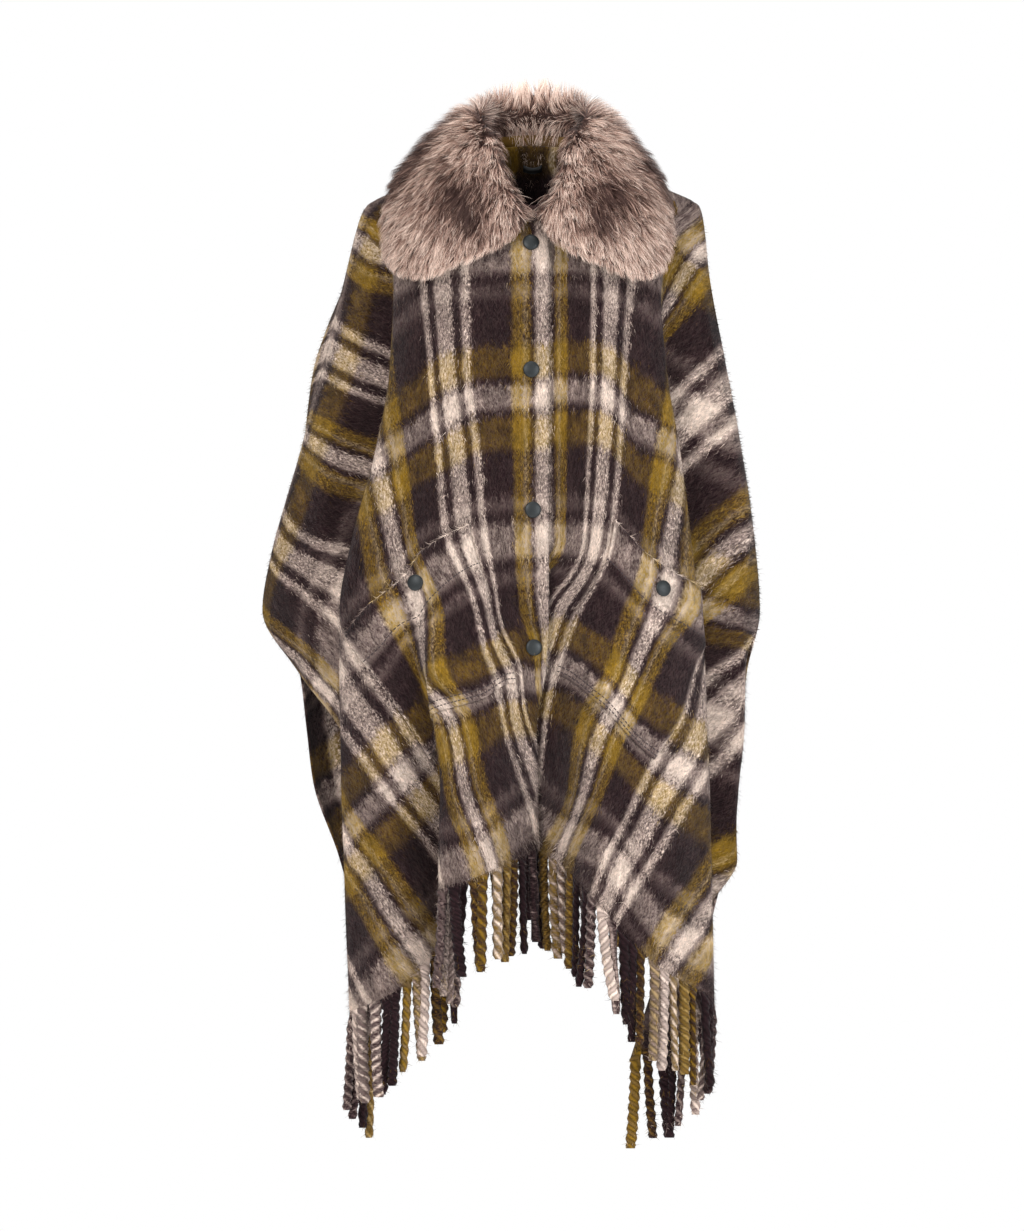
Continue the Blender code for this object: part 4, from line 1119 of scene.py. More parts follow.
def make_snap(name, panel, side, centre, lift, last, look):
    """A finely turned cap on the cloth."""
    out, height = centre
    place = np.array([find_place(panel, out, height, side, last)])
    level = np.array([float(height)])
    normal = panel.normal(place, level)[0]
    base = panel.bare(place, level)[0] + normal * (lift + SNAP_GAP)
    across = unit(np.cross(normal, (0, 0, 1)))
    up = np.cross(across, normal)
    points = []
    for radius, rise in SNAP_PROFILE:
        for angle in 2 * math.pi * np.arange(SNAP_SIDES) / SNAP_SIDES:
            spread = (across * math.cos(angle) + up * math.sin(angle)) * SNAP_RADIUS * radius
            points.append(base + spread + normal * SNAP_HEIGHT * rise)
    points.append(base + normal * SNAP_HEIGHT)
    faces = tube_faces(len(SNAP_PROFILE), SNAP_SIDES)
    top = faces.pop()
    faces += [(a, b, len(points) - 1) for a, b in zip(top, top[1:] + top[:1])]
    piece = add_piece("cap_" + name, points, faces, look)
    outward(piece.data)
    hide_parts(name)


def make_hanger(look):
    """A ribbon that bows a little from the back neck."""
    low, high = (np.array(corner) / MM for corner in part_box("hanger_loop"))
    points = []
    for share in np.linspace(0, 1, LOOP_STATIONS):
        swell = math.sin(math.pi * share)
        x = low[0] + (high[0] - low[0]) * share
        front = low[1] - LOOP_BOW * swell
        behind = front + LOOP_THICK
        bottom = low[2] + (LOOP_CURL - LOOP_SAG) * swell
        top = high[2] - (LOOP_CURL + LOOP_SAG) * swell
        points += [(x, front, bottom), (x, front, top), (x, behind, top), (x, behind, bottom)]
    piece = add_piece("loop_ribbon", points, tube_faces(LOOP_STATIONS, 4), look)
    outward(piece.data)
    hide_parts("hanger_loop")


# Band that joins the neck edge to the collar

def neck_edge(shells):
    """Points along the neck, from the right front edge round the back to the left one."""
    right, left, back = (shells[name] for name in ("front_right", "front_left", "back"))
    up_right = right.point[right.height[:, 0] > BAND_END, 0][::-1]
    down_left = left.point[left.height[:, 0] > BAND_END, 0]
    across_left = left.point[0, ::-1]
    return np.concatenate([up_right, right.point[0, 1:], back.point[0, 1:], across_left[1:], down_left[1:]])


def make_band(shells, look):
    """A narrow strip from the neck edge up into the collar, olive behind and dark in front."""
    edge = neck_edge(shells)
    away = fur_radial(edge)
    lower = edge + away * WALL / 2 - (0, 0, BAND_DROP)
    upper = edge + away * BAND_OUT + (0, 0, BAND_UP)
    rings = np.stack([lower, upper, upper + away * BAND_WALL, lower + away * BAND_WALL], axis=1)
    piece = add_piece("band_neck", rings.reshape(-1, 3), tube_faces(len(edge), 4), look)
    outward(piece.data)
    warp = np.repeat(np.linspace(*BAND_WARP, len(edge)), 4)
    weft = np.repeat(np.where(edge[:, 1] > BACK_DEPTH, BAND_WEFT_BACK, BAND_WEFT_FRONT), 4)
    corners = [loop.vertex_index for loop in piece.data.loops]
    put_map(piece.data, "cloth", np.stack([warp[corners], weft[corners]], axis=-1))


# Fur

def rounded_copy(mesh):
    """A smooth copy of a solid's mesh, with its corners welded."""
    welded = mesh.copy()
    work = bmesh.new()
    work.from_mesh(welded)
    bmesh.ops.remove_doubles(work, verts=work.verts, dist=MERGE_DISTANCE)
    work.to_mesh(welded)
    work.free()
    holder = bpy.data.objects.new("fur_holder", welded)
    bpy.context.scene.collection.objects.link(holder)
    holder.modifiers.new("round", "SUBSURF").levels = 1
    whole = holder.evaluated_get(bpy.context.evaluated_depsgraph_get())
    rounded = bpy.data.meshes.new_from_object(whole)
    bpy.data.objects.remove(holder)
    return rounded


class Skin:
    """The collar's solid, rounded and drawn in, as a base for the fur."""

    def __init__(self, node, look):
        rounded = rounded_copy(node.data)
        points = np.array([v.co for v in rounded.vertices]) / MM
        faces = [tuple(f.vertices) for f in rounded.polygons]
        self.normals = np.array([v.normal for v in rounded.vertices])
        self.solid = BVHTree.FromPolygons([Vector(p) for p in points], faces)
        self.points = self.drawn_in(points)
        self.piece = add_piece("fur_base", self.points, faces, look)
        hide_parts("collar")
        self.triangles = np.array([(f[0], f[i], f[i + 1]) for f in faces for i in range(1, len(f) - 1)])

    def drawn_in(self, points):
        """The solid's points moved in, less at the crown, where it is sewn on and where it is thin."""
        inward = facing(points, self.normals) < SEWN_IN
        sewn = (self.normals[:, 2] < SEWN_DOWN) | (inward & (points[:, 2] < SEWN_TOP))
        most = FUR_BASE_DEPTH * (1 - CROWN_DRAW * fur_top(points)) * np.where(sewn, SEWN_DRAW, 1)
        drawn = np.empty_like(points)
        for k, (point, normal) in enumerate(zip(points, self.normals)):
            inner = Vector(point) - Vector(normal) * RAY_START
            _, _, _, thick = self.solid.ray_cast(inner, -Vector(normal))
            depth = min(most[k], THIN_DRAW * (thick or FUR_BASE_DEPTH))
            drawn[k] = point - normal * depth
        return drawn

    def held_in(self, root, tip, over):
        """Tips drawn back towards their roots where they stand too far out of the collar's solid."""
        held = tip.copy()
        for k, (start, end, most) in enumerate(zip(root, tip, over)):
            spot, normal, _, away = self.solid.find_nearest(Vector(end))
            if away > most and (Vector(end) - spot).dot(normal) > 0:
                share = 1 - (away - most) / np.linalg.norm(end - start)
                held[k] = start + (end - start) * max(SHORTEST_HAIR, share)
        return held

    def sample(self, count, weigh):
        """Random points on the skin with their normals, more of them where weigh is high."""
        a, b, c = (self.points[self.triangles[:, k]] for k in range(3))
        middle = (a + b + c) / 3
        normal = unit(self.normals[self.triangles].mean(axis=1))
        chance = np.linalg.norm(np.cross(b - a, c - a), axis=1) * weigh(middle, normal)
        pick = random.choice(len(chance), count, p=chance / chance.sum())
        u, v = random.random((2, count))
        over = u + v > 1
        u, v = np.where(over, 1 - u, u), np.where(over, 1 - v, v)
        share = np.stack([1 - u - v, u, v], axis=1)[..., None]
        corners = self.triangles[pick]
        return (self.points[corners] * share).sum(axis=1), unit((self.normals[corners] * share).sum(axis=1))


def fur_radial(point):
    """Level directions away from the neck's middle."""
    return unit((point - (NECK_CENTRE[0], NECK_CENTRE[1], 0.0)) * (1, 1, 0))


def facing(point, normal):
    """How far normals point away from the neck's middle, from -1 to 1."""
    return (normal * fur_radial(point)).sum(axis=1)


def rising(value, start, span):
    """From 0 at the start to 1 a span further on; a span below 0 runs down."""
    return np.clip((value - start) / span, 0, 1)


def fur_weight(point, normal):
    """Fur on the outer faces and over the neck edge, none underneath."""
    away = facing(point, normal)
    outer = np.clip(away * GROW_OUT + normal[:, 2] * GROW_UP + GROW_BASE, 0, 1)
    inner = (away < SEWN_IN) & (point[:, 2] > 0) & (normal[:, 2] > GROW_UNDER)
    return np.where(inner, GROW_INSIDE, outer)


def fur_flow(point, normal):
    """The way the pile lies: down in front, outwards behind, and both ways inside the neck."""
    inner = np.clip(-facing(point, normal) * 2, 0, 1)[:, None]
    front = rising(point[:, 1:2], *FLOW_FRONT)
    down = np.array((0, 0, -1.0)) * (FLOW_DOWN[0] + FLOW_DOWN[1] * front)
    outside = fur_radial(point) * (FLOW_OUT[0] - FLOW_OUT[1] * front) + down
    level, fade = FLOW_PART
    up = np.clip((point[:, 2:] - level) / fade, -1, 1)
    return tangent(outside, normal) * (1 - inner) + tangent(np.array((0, 0, 1.0)), normal) * up * inner


def tangent(way, normal):
    """Directions laid down on the skin."""
    return unit(way - normal * (way * normal).sum(axis=1, keepdims=True))


def fur_top(point):
    """How near the top of the collar's centre back, from 0 to 1."""
    aside = np.abs(point[:, 0] - CROWN_MIDDLE)
    crest = CROWN_LEVEL - CROWN_SLOPE * np.maximum(aside - CROWN_FLAT, 0)
    return np.exp(-(aside / CROWN_SPREAD) ** 4) * rising(point[:, 2], crest, CROWN_FADE)


def fur_shade(point):
    """Darkness of the mottled patches, from 0 to 1."""
    dark = np.zeros(len(point))
    for x, z, size in FUR_PATCHES:
        away = (point[:, 0] - x) ** 2 + (point[:, 2] - z) ** 2
        dark = np.maximum(dark, np.exp(-away / size ** 2) * (point[:, 1] < BACK_DEPTH))
    return dark


def nearest_of(points, centres):
    """The number of the nearest centre for each point."""
    tree = KDTree(len(centres))
    for k, centre in enumerate(centres):
        tree.insert(Vector(centre), k)
    tree.balance()
    return np.array([tree.find(Vector(p))[1] for p in points])


def inside_neck(point, normal):
    """How far the pile faces into the neck, from 0 to 1."""
    return np.clip(-facing(point, normal) * 3, 0, 1)


def fur_hollow_shade(point, normal):
    """Painted shade in the hollows on both sides of the roll inside the back neck, from 0 to 1."""
    aside = rising(np.abs(point[:, 0] - ROLL_MIDDLE), HOLLOW_HALF, ROLL_FADE)
    return inside_neck(point, normal) * aside * rising(point[:, 2], HOLLOW_TOP, -HOLLOW_FADE)


def fur_roll(point, normal):
    """How near the roll of fur inside the centre back, from 0 to 1."""
    near = rising(np.abs(point[:, 0] - ROLL_MIDDLE), ROLL_HALF, -ROLL_FADE)
    return inside_neck(point, normal) * near * (point[:, 1] > BACK_DEPTH)


def fur_shoulder_shade(point):
    """Painted shade on the pile that turns away over the shoulders, from 0 to 1."""
    x, y, z = point.T
    right, right_level, right_slope = SHOULDER_RIGHT
    left, left_level, left_slope = SHOULDER_LEFT
    beyond = np.maximum(right - (right_level - z) * right_slope - x, x - left - (left_level - z) * left_slope)
    dark = np.clip(beyond / SHOULDER_FADE + SHOULDER_START, 0, 1)
    return dark * rising(z, *SHOULDER_LOW) * rising(y, *SHOULDER_DEEP)


def fur_opening(point):
    """How near the lower end of the neck opening in front, from 0 to 1."""
    aside = np.exp(-((point[:, 0] - OPENING_MIDDLE) / OPENING_WIDTH) ** 2)
    return aside * (point[:, 1] < OPENING_DEPTH) * rising(point[:, 2], *OPENING_HIGH)


def fur_mottle(point):
    """Slow waves of light and dark across the pile, from -1 to 1."""
    x, y, z = (point * MOTTLE_SCALE).T
    step, swing, bend = MOTTLE_ACROSS
    across = np.sin(x * step + swing * np.sin(z * bend))
    step, swing, bend = MOTTLE_DOWN
    return (across + np.sin(z * step - y + swing * np.sin(x * bend))) / 2


class Tufts:
    """Tufts of fur: where they stand, how they lean, how long and how light they are, with painted light and
    shade in their tone.
    """

    def __init__(self, skin):
        self.centre, normal = skin.sample(FUR_TUFTS, fur_weight)
        top = fur_top(self.centre)
        roll = fur_roll(self.centre, normal)
        self.lean = random.normal(0, 1, (FUR_TUFTS, 3)) * (TUFT_LEAN + CROWN_LEAN * top)[:, None]
        self.length = random.uniform(*FUR_LENGTH, FUR_TUFTS) * (1 + CROWN_LONGER * top + ROLL_LONGER * roll)
        self.shade = random.normal(0, TUFT_VARY, FUR_TUFTS) - PATCH_DARK * fur_shade(self.centre)
        # Painted light on the roll inside the back neck
        self.shade += MOTTLE_SHARE * fur_mottle(self.centre) + ROLL_PAINTED_LIGHT * roll
        # Painted shade in the hollows beside the roll
        hollow = HOLLOW_PAINTED_SHADE * fur_hollow_shade(self.centre, normal)
        # Painted shade on the pile over the shoulders' outer edge
        self.shade -= hollow + SHOULDER_PAINTED_SHADE * fur_shoulder_shade(self.centre)
        flow = fur_flow(self.centre, normal) + self.lean
        self.tip = self.centre + (flow * HAIR_LIE + normal * TUFT_RISE) * self.length[:, None]


def make_fur(skin, look):
    """Curved tapering hairs gathered into tufts."""
    root, normal = skin.sample(FUR_STRANDS, fur_weight)
    tufts = Tufts(skin)
    own = nearest_of(root, tufts.centre)
    top = fur_top(root)
    flow = fur_flow(root, normal)
    stand = 1 - np.linalg.norm(flow, axis=1, keepdims=True)
    flow = flow + (tufts.lean[own] + random.normal(0, HAIR_LEAN, root.shape)) * (1 - stand)
    length = tufts.length[own] * random.uniform(*HAIR_LENGTH, FUR_STRANDS)
    length *= 1 - OPENING_SHORTER * fur_opening(root)
    rise = random.uniform(*HAIR_RISE, (FUR_STRANDS, 1)) + CROWN_RISE * top[:, None] + STAND_RISE * stand
    tip = root + (flow * HAIR_LIE + normal * rise) * length[:, None]
    tip = tip * (1 - TUFT_PULL) + tufts.tip[own] * TUFT_PULL
    over = FUR_OVER + (FUR_TOP_OVER - FUR_OVER) * top
    tip = skin.held_in(root, tip, np.maximum(over, ROLL_OVER * fur_roll(root, normal)))
    reach = np.linalg.norm(tip - root, axis=1)[:, None]
    bend = root + (flow * BEND_LIE + normal * BEND_RISE) * reach * BEND_SHARE
    shade = np.clip(random.normal(*HAIR_SHADE, FUR_STRANDS) + tufts.shade[own], DARKEST_HAIR, 1)
    side = unit(np.cross(tip - root, normal + random.normal(0, HAIR_TURN, root.shape)))
    width = random.uniform(*FUR_WIDTH, FUR_STRANDS)
    behind = root[:, 1] > BACK_DEPTH
    right = root[:, 0] < 0
    lights = ROOT_SHADE + (1 - ROOT_SHADE) * np.array(HAIR_LIGHTS)
    hairs = (root, bend, tip, side, normal, width)
    for name, part in (("fur_right", ~behind & right), ("fur_left", ~behind & ~right), ("fur_back", behind)):
        piece = make_hairs(name, *(values[part] for values in hairs), look)
        put_shade(piece.data, np.outer(shade[part], lights).ravel())


def put_shade(mesh, values):
    """One shade for each point, which the material reads."""
    layer = mesh.attributes.new("shade", "FLOAT", "POINT")
    layer.data.foreach_set("value", np.asarray(values, np.float32))


def make_hairs(name, root, bend, tip, side, normal, width, look):
    """Curved ribbons of seven points each, lit like the skin below them."""
    count = len(root)
    per_hair = len(HAIR_LIGHTS)
    points = np.empty((count, per_hair, 3))
    for k, (t, part) in enumerate(HAIR_PAIRS):
        middle = root * (1 - t) ** 2 + bend * 2 * t * (1 - t) + tip * t * t
        spread = side * (width * part / 2)[:, None]
        points[:, 2 * k] = middle - spread
        points[:, 2 * k + 1] = middle + spread
    points[:, -1] = tip
    first = np.arange(count)[:, None] * per_hair
    shapes = (*HAIR_FACES, HAIR_END)
    faces = [face for shape in shapes for face in (first + shape).tolist()]
    piece = add_piece(name, points.reshape(-1, 3), faces, look)
    lit = unit(normal + unit(tip - root) * HAIR_LIT)
    piece.data.normals_split_custom_set_from_vertices(np.repeat(lit, per_hair, axis=0).tolist())
    corners = np.array(HAIR_MAP)
    put_map(piece.data, "OFBake", np.concatenate([in_cells(count, corners[list(shape)]) for shape in shapes]))
    return piece


def in_cells(count, corners):
    """Map corners of one face for each hair, each in its own small cell of a square."""
    across = math.ceil(math.sqrt(count))
    k = np.arange(count)
    cell = np.stack([k % across, k // across], axis=1) / across
    return (cell[:, None] + np.asarray(corners) / across).reshape(-1, 2)


# Nap

def between(corners, u, v):
    """Points inside four corners, at the shares u across and v down."""
    a, b, c, d = corners
    return (a * (1 - u) + b * u) * (1 - v) + (d * (1 - u) + c * u) * v


def cloth_hairs(shell):
    """Roots, normals, directions and plaid numbers of hairs on a panel, more of them at the hem."""
    corners = shell.lifted(WALL / 2)[shell.quads.T]
    a, b, c, d = corners
    hem_height = shell.height[-1][shell.quads[:, 0] % shell.height.shape[1]]
    above_hem = shell.height.ravel()[shell.quads[:, 0]] - hem_height
    weight = np.linalg.norm(np.cross(c - a, d - b), axis=1) * (1 + HEM_HAIRS * np.exp(-above_hem / HEM_REACH))
    pick = random.choice(len(weight), NAP_HAIRS, p=weight / weight.sum())
    u, v = random.random((2, NAP_HAIRS, 1))
    chart = shell.corners[pick].transpose(1, 0, 2)
    root = between(corners[:, pick], u, v)
    plaid = between(chart, u, v) + random.normal(0, 1, (NAP_HAIRS, 2)) * NAP_STRAY
    right, down = (b - a)[pick], (d - a)[pick]
    right_map, down_map = chart[1] - chart[0], chart[3] - chart[0]
    warp = unit(down * right_map[:, :1] - right * down_map[:, :1])
    warp *= np.sign(right_map[:, :1] * down_map[:, 1:] - right_map[:, 1:] * down_map[:, :1])
    normal = shell.normal.reshape(-1, 3)[shell.quads[pick, 0]]
    rise = normal * random.uniform(*NAP_RISE, (NAP_HAIRS, 1))
    lie = unit(warp + rise + random.normal(0, NAP_LEAN, root.shape))
    return root, normal, lie, plaid


def mouth_hairs(patch):
    """Roots, normals, directions and plaid numbers of hairs along a pocket's mouth, made light as a painted
    highlight on its rim.
    """
    edge = patch.lifted(POCKET_WALL / 2)[:patch.place.shape[1]]
    at = random.uniform(0, len(edge) - 1, MOUTH_HAIRS)
    k = at.astype(int)
    along = edge[k + 1] - edge[k]
    root = edge[k] + along * (at - k)[:, None]
    lie = unit(unit(along) + random.normal(0, MOUTH_STRAY, root.shape))
    plaid = patch.chart[0][k].copy()
    # Painted highlight: the rim's hairs take the cream weft whatever the cloth below
    plaid[:, 1] = MOUTH_HIGHLIGHT_WEFT
    return root, patch.normal[0][k], lie, plaid


def make_nap(name, shell, strands, patch, look):
    """Short thin hairs on a panel, along its pocket's mouth and on its fringe."""
    cloth = cloth_hairs(shell)
    if patch:
        cloth = [np.concatenate(pair) for pair in zip(cloth, mouth_hairs(patch))]
    fuzz = [np.concatenate(part) for part in zip(*(strand.fuzz() for strand in strands))]
    cloth_length = random.uniform(*NAP_LENGTH, len(cloth[0]))
    fuzz_length = random.uniform(*FUZZ_LENGTH, len(fuzz[0]))
    root, normal, lie, plaid = (np.concatenate(pair) for pair in zip(cloth, fuzz))
    count = len(root)
    tip = root + lie * np.concatenate([cloth_length, fuzz_length])[:, None]
    side = unit(np.cross(lie, normal)) * NAP_WIDTH / 2
    hairs = np.stack([root - side, root + side, tip], axis=1)
    faces = np.arange(count * 3).reshape(-1, 3).tolist()
    piece = add_piece(name, hairs.reshape(-1, 3), faces, look)
    piece.data.normals_split_custom_set_from_vertices(np.repeat(normal, 3, axis=0).tolist())
    put_map(piece.data, "cloth", np.repeat(plaid, 3, axis=0))
    put_map(piece.data, "OFBake", in_cells(count, NAP_MAP))
    return piece


# Materials

def screen(colour):
    """A colour from 0 to 255 as a node's colour."""
    return tuple(v / 255 for v in colour) + (1.0,)


def new_material(name):
    """A new material with short calls for its nodes, and its shader."""
    made = bpy.data.materials.new(name)
    made.use_nodes = True
    return made, Nodes(made.node_tree), made.node_tree.nodes["Principled BSDF"]


class Nodes:
    """Short calls that add a node and link its inputs."""

    def __init__(self, tree):
        self.tree = tree

    def add(self, kind, settings=None, **inputs):
        node = self.tree.nodes.new(kind)
        for key, value in (settings or {}).items():
            setattr(node, key, value)
        self.fill(node, **inputs)
        return node

    def fill(self, node, **inputs):
        """Values or links for a node's inputs, by name, or by number after one letter."""
        for key, value in inputs.items():
            self.put(node, int(key[1:]) if key[1:].isdigit() else key.replace("_", " "), value)

    def put(self, node, key, value):
        socket = node.inputs[key]
        if hasattr(value, "is_linked"):
            self.tree.links.new(value, socket)
        else:
            socket.default_value = value

    def math(self, operation, a, b=0.0, c=0.0):
        node = self.add("ShaderNodeMath", {"operation": operation}, i0=a, i1=b, i2=c)
        return node.outputs[0]

    def weighed(self, weights, *values):
        """The first weight, plus each value times its own weight."""
        total, *factors = weights
        for value, factor in reversed(list(zip(values, factors))):
            total = self.math("MULTIPLY_ADD", value, factor, total)
        return total

    def clamp(self, value):
        return self.add("ShaderNodeClamp", Value=value).outputs[0]

    def noise(self, vector, scale=1.0, detail=2.0, rough=0.5, twist=0.0):
        node = self.add("ShaderNodeTexNoise", Vector=vector, Scale=scale)
        self.fill(node, Detail=detail, Roughness=rough, Distortion=twist)
        return node.outputs["Fac"]

    def scaled(self, vector, factors):
        node = self.add("ShaderNodeVectorMath", {"operation": "MULTIPLY"}, i0=vector, i1=factors)
        return node.outputs[0]

    def split(self, vector):
        """The first two numbers of a vector."""
        return self.add("ShaderNodeSeparateXYZ", Vector=vector).outputs[:2]

    def map(self, name):
        return self.add("ShaderNodeUVMap", {"uv_map": name}).outputs[0]

    def place(self):
        return self.add("ShaderNodeTexCoord").outputs["Object"]

    def mix(self, share, a, b, blend="MIX"):
        node = self.add("ShaderNodeMix", {"data_type": "RGBA", "blend_type": blend}, i0=share, i6=a, i7=b)
        return node.outputs[2]

    def ramp(self, value, stops):
        node = self.add("ShaderNodeValToRGB", Fac=value)
        marks = node.color_ramp.elements
        for k, (position, colour) in enumerate(stops):
            mark = marks[k] if k < 2 else marks.new(position)
            mark.position = position
            mark.color = colour
        return node.outputs["Color"]

    def stripes(self, value, stripes, edge):
        """The colour of a row of stripes that runs there and back."""
        return self.ramp(self.math("PINGPONG", value, 1.0), stripe_stops(stripes, edge))

    def linear(self, colour, gamma=SCREEN_GAMMA):
        return self.add("ShaderNodeGamma", Color=colour, Gamma=gamma).outputs[0]

    def bump(self, height, strength, distance):
        return self.add("ShaderNodeBump", Strength=strength, Distance=distance, Height=height).outputs[0]


def stripe_stops(stripes, edge):
    """Ramp stops with soft edges between stripes."""
    stops = [(0.0, screen(stripes[0][1]))]
    for (end, colour), (_, following) in zip(stripes, stripes[1:]):
        stops.append((end - edge / 2, screen(colour)))
        stops.append((end + edge / 2, screen(following)))
    return stops


def plaid_map(make):
    """The plaid's numbers, and the same as real distances along weft and warp."""
    cloth = make.map("cloth")
    return cloth, make.scaled(cloth, (WARP_HALF * MM, WEFT_HALF * MM, 0.0))


def fibre_lines(make, real, slant):
    """Thin wavy fibres that lean to one side of the warp, from 0 to 1."""
    across, along = make.split(real)
    aside = make.math("MULTIPLY_ADD", along, slant, across)
    leaning = make.add("ShaderNodeCombineXYZ", X=aside, Y=along, Z=slant).outputs[0]
    waves = make.noise(make.scaled(leaning, FIBRE_SCALE), twist=0.6)
    away = make.math("ABSOLUTE", make.math("SUBTRACT", waves, 0.5))
    return make.clamp(make.math("MULTIPLY_ADD", away, -FIBRE_THIN, 1.0))


def finish_wool(make, shader, mixed, light, height):
    """Shaded, fuzzy and matt: the last steps that cloth and yarn share."""
    tint = make.add("ShaderNodeCombineColor", i0=light, i1=light, i2=light).outputs[0]
    shown = make.mix(1.0, mixed, tint, "MULTIPLY")
    bumped = make.bump(height, strength=0.6, distance=0.002)
    make.fill(shader, Base_Color=make.linear(shown, WOOL_GAMMA), Normal=bumped)
    make.fill(shader, Roughness=0.95, Specular_IOR_Level=0.05, Sheen_Weight=0.06, Sheen_Roughness=0.5)


def wool_material(name, gain=1.0):
    """Brushed plaid: warp and weft stripes that blend fibre by fibre, with the nap combed along the warp."""
    made, make, shader = new_material(name)
    cloth, real = plaid_map(make)
    grain = make.noise(make.scaled(real, GRAIN_SCALE), detail=3.0, rough=0.7, twist=0.6)
    clumps = make.noise(make.scaled(real, CLUMP_SCALE), detail=3.0, rough=0.6, twist=0.6)
    cloudy = make.noise(real, CLOUD_SCALE, detail=3.0)
    fibres = make.math("MAXIMUM", *(fibre_lines(make, real, slant) for slant in FIBRE_SLANTS))
    warp, weft = make.split(cloth)
    warp = make.math("ADD", warp, make.weighed(WARP_FRAY, grain, clumps))
    weft = make.math("ADD", weft, make.weighed(WEFT_FRAY, grain, clumps))
    warp_colour = make.stripes(warp, WARP_STRIPES, WARP_EDGE)
    weft_colour = make.stripes(weft, WEFT_STRIPES, WEFT_EDGE)
    mixed = make.mix(make.clamp(make.weighed(WEAVE_MIX, grain, clumps)), warp_colour, weft_colour)
    mixed = make.mix(make.math("MULTIPLY", fibres, FIBRE_SHARE), mixed, screen(FIBRE))
    clouds = make.weighed([share * gain for share in CLOUD_LIGHT], cloudy)
    light = make.math("MULTIPLY", make.weighed(WOOL_LIGHT, grain, clumps), clouds)
    finish_wool(make, shader, mixed, light, make.math("ADD", grain, fibres))
    return made


def yarn_material():
    """The warp's colours in twisted strands: two plies that show in turn, with a soft edge between them and
    painted shade in the grooves where they meet.
    """
    made, make, shader = new_material("wool_yarn")
    cloth, real = plaid_map(make)
    turn, twist = make.split(make.map("twist"))
    across, along = make.split(real)
    around = make.math("MULTIPLY_ADD", across, YARN_APART, make.math("MULTIPLY", turn, YARN_ROUND))
    rough = make.add("ShaderNodeCombineXYZ", X=around, Y=make.math("MULTIPLY", along, YARN_ALONG))
    grain = make.noise(rough.outputs[0], detail=4.0, rough=0.65, twist=0.8)
    cloudy = make.noise(real, YARN_CLOUDS, detail=3.0)
    wobble = make.weighed(YARN_WOBBLE, make.noise(make.scaled(real, YARN_UNEVEN), detail=1.0))
    turning = make.math("SUBTRACT", turn, twist)
    wave = make.math("COSINE", make.math("MULTIPLY_ADD", turning, 4 * math.pi, wobble))
    warp, _ = make.split(cloth)
    warp = make.math("MULTIPLY_ADD", grain, YARN_FRAY, make.math("ADD", warp, -YARN_FRAY / 2))
    plies = []
    for shift in (-PLY_WARP, PLY_WARP):
        plies.append(make.stripes(make.math("ADD", warp, shift), WARP_STRIPES, WARP_EDGE))
    plies[1] = make.mix(PLY_DARK, plies[1], screen(DARK))
    mixed = make.mix(make.clamp(make.weighed(PLY_MIX, grain, wave)), *plies)
    # Painted shade in the grooves where the plies meet
    groove = make.math("ABSOLUTE", wave)
    light = make.math("MULTIPLY", make.weighed(YARN_GRAIN_AND_GROOVE_SHADE, groove, grain), make.weighed(CLOUD_LIGHT, cloudy))
    finish_wool(make, shader, mixed, light, make.math("ADD", grain, groove))
    return made


def thread_material():
    """Dark sewing thread with a faint twist."""
    made, make, shader = new_material("thread")
    strands = make.noise(make.place(), THREAD_SCALE)
    colour = make.ramp(strands, [(0.3, screen(THREAD)), (0.7, screen(tuple(2 * v for v in THREAD)))])
    make.fill(shader, Base_Color=make.linear(colour), Roughness=0.8)
    return made


def fur_material():
    """Mottled taupe pile, dark at its roots and pale at its tips."""
    made, make, shader = new_material("fur_pile")
    shade = make.add("ShaderNodeAttribute", {"attribute_name": "shade"}).outputs["Fac"]
    stops = [(0.12, screen(FUR_DARK)), (0.5, screen(FUR_MIDDLE)), (0.85, screen(FUR_LIGHT))]
    make.fill(shader, Base_Color=make.linear(make.ramp(shade, stops)))
    make.fill(shader, Roughness=0.6, Specular_IOR_Level=0.25, Sheen_Weight=0.1)
    return made


def snap_material():
    """Dark enamel over metal: faint specks, and a gloss that is worn unevenly."""
    made, make, shader = new_material("snap_metal")
    place = make.place()
    specks = make.noise(place, SPECK_SCALE)
    worn = make.noise(place, WORN_SCALE, detail=3.0)
    bumped = make.bump(specks, strength=0.15, distance=0.0004)
    make.fill(shader, Base_Color=make.ramp(specks, SNAP_TONES), Normal=bumped)
    make.fill(shader, Roughness=make.weighed(SNAP_ROUGHNESS, worn), Metallic=0.35)
    return made


def ribbon_material():
    """Black satin ribbon with fine ribs."""
    made, make, shader = new_material("satin")
    wave = make.add("ShaderNodeTexWave", {"bands_direction": "X"}, Vector=make.place())
    make.fill(wave, Scale=RIB_SCALE, Distortion=1.5)
    ribs = wave.outputs["Fac"]
    bumped = make.bump(ribs, strength=0.2, distance=0.0005)
    make.fill(shader, Base_Color=make.ramp(ribs, RIBBON_TONES), Normal=bumped)
    make.fill(shader, Roughness=make.weighed(RIBBON_ROUGHNESS, ribs), Specular_IOR_Level=0.15)
    return made


def paper_material():
    """Pale, faintly uneven floor with a light of its own."""
    made, make, shader = new_material("paper")
    tone = make.ramp(make.noise(make.place(), PAPER_SCALE), PAPER_TONES)
    make.fill(shader, Base_Color=tone, Roughness=0.9, Emission_Color=(*WHITE, 1), Emission_Strength=0.5)
    return made


# Stage

def make_camera():
    """A far camera straight in front."""
    data = bpy.data.cameras.new("camera")
    data.sensor_width = SENSOR
    data.lens = SENSOR * VIEW_DISTANCE / VIEW_HEIGHT
    data.clip_end = CLIP_END
    camera = bpy.data.objects.new("camera", data)
    x, y, z = VIEW_CENTRE
    camera.location = (x, y - VIEW_DISTANCE, z)
    camera.rotation_euler = (math.radians(90), 0, 0)
    bpy.context.scene.collection.objects.link(camera)
    bpy.context.scene.camera = camera


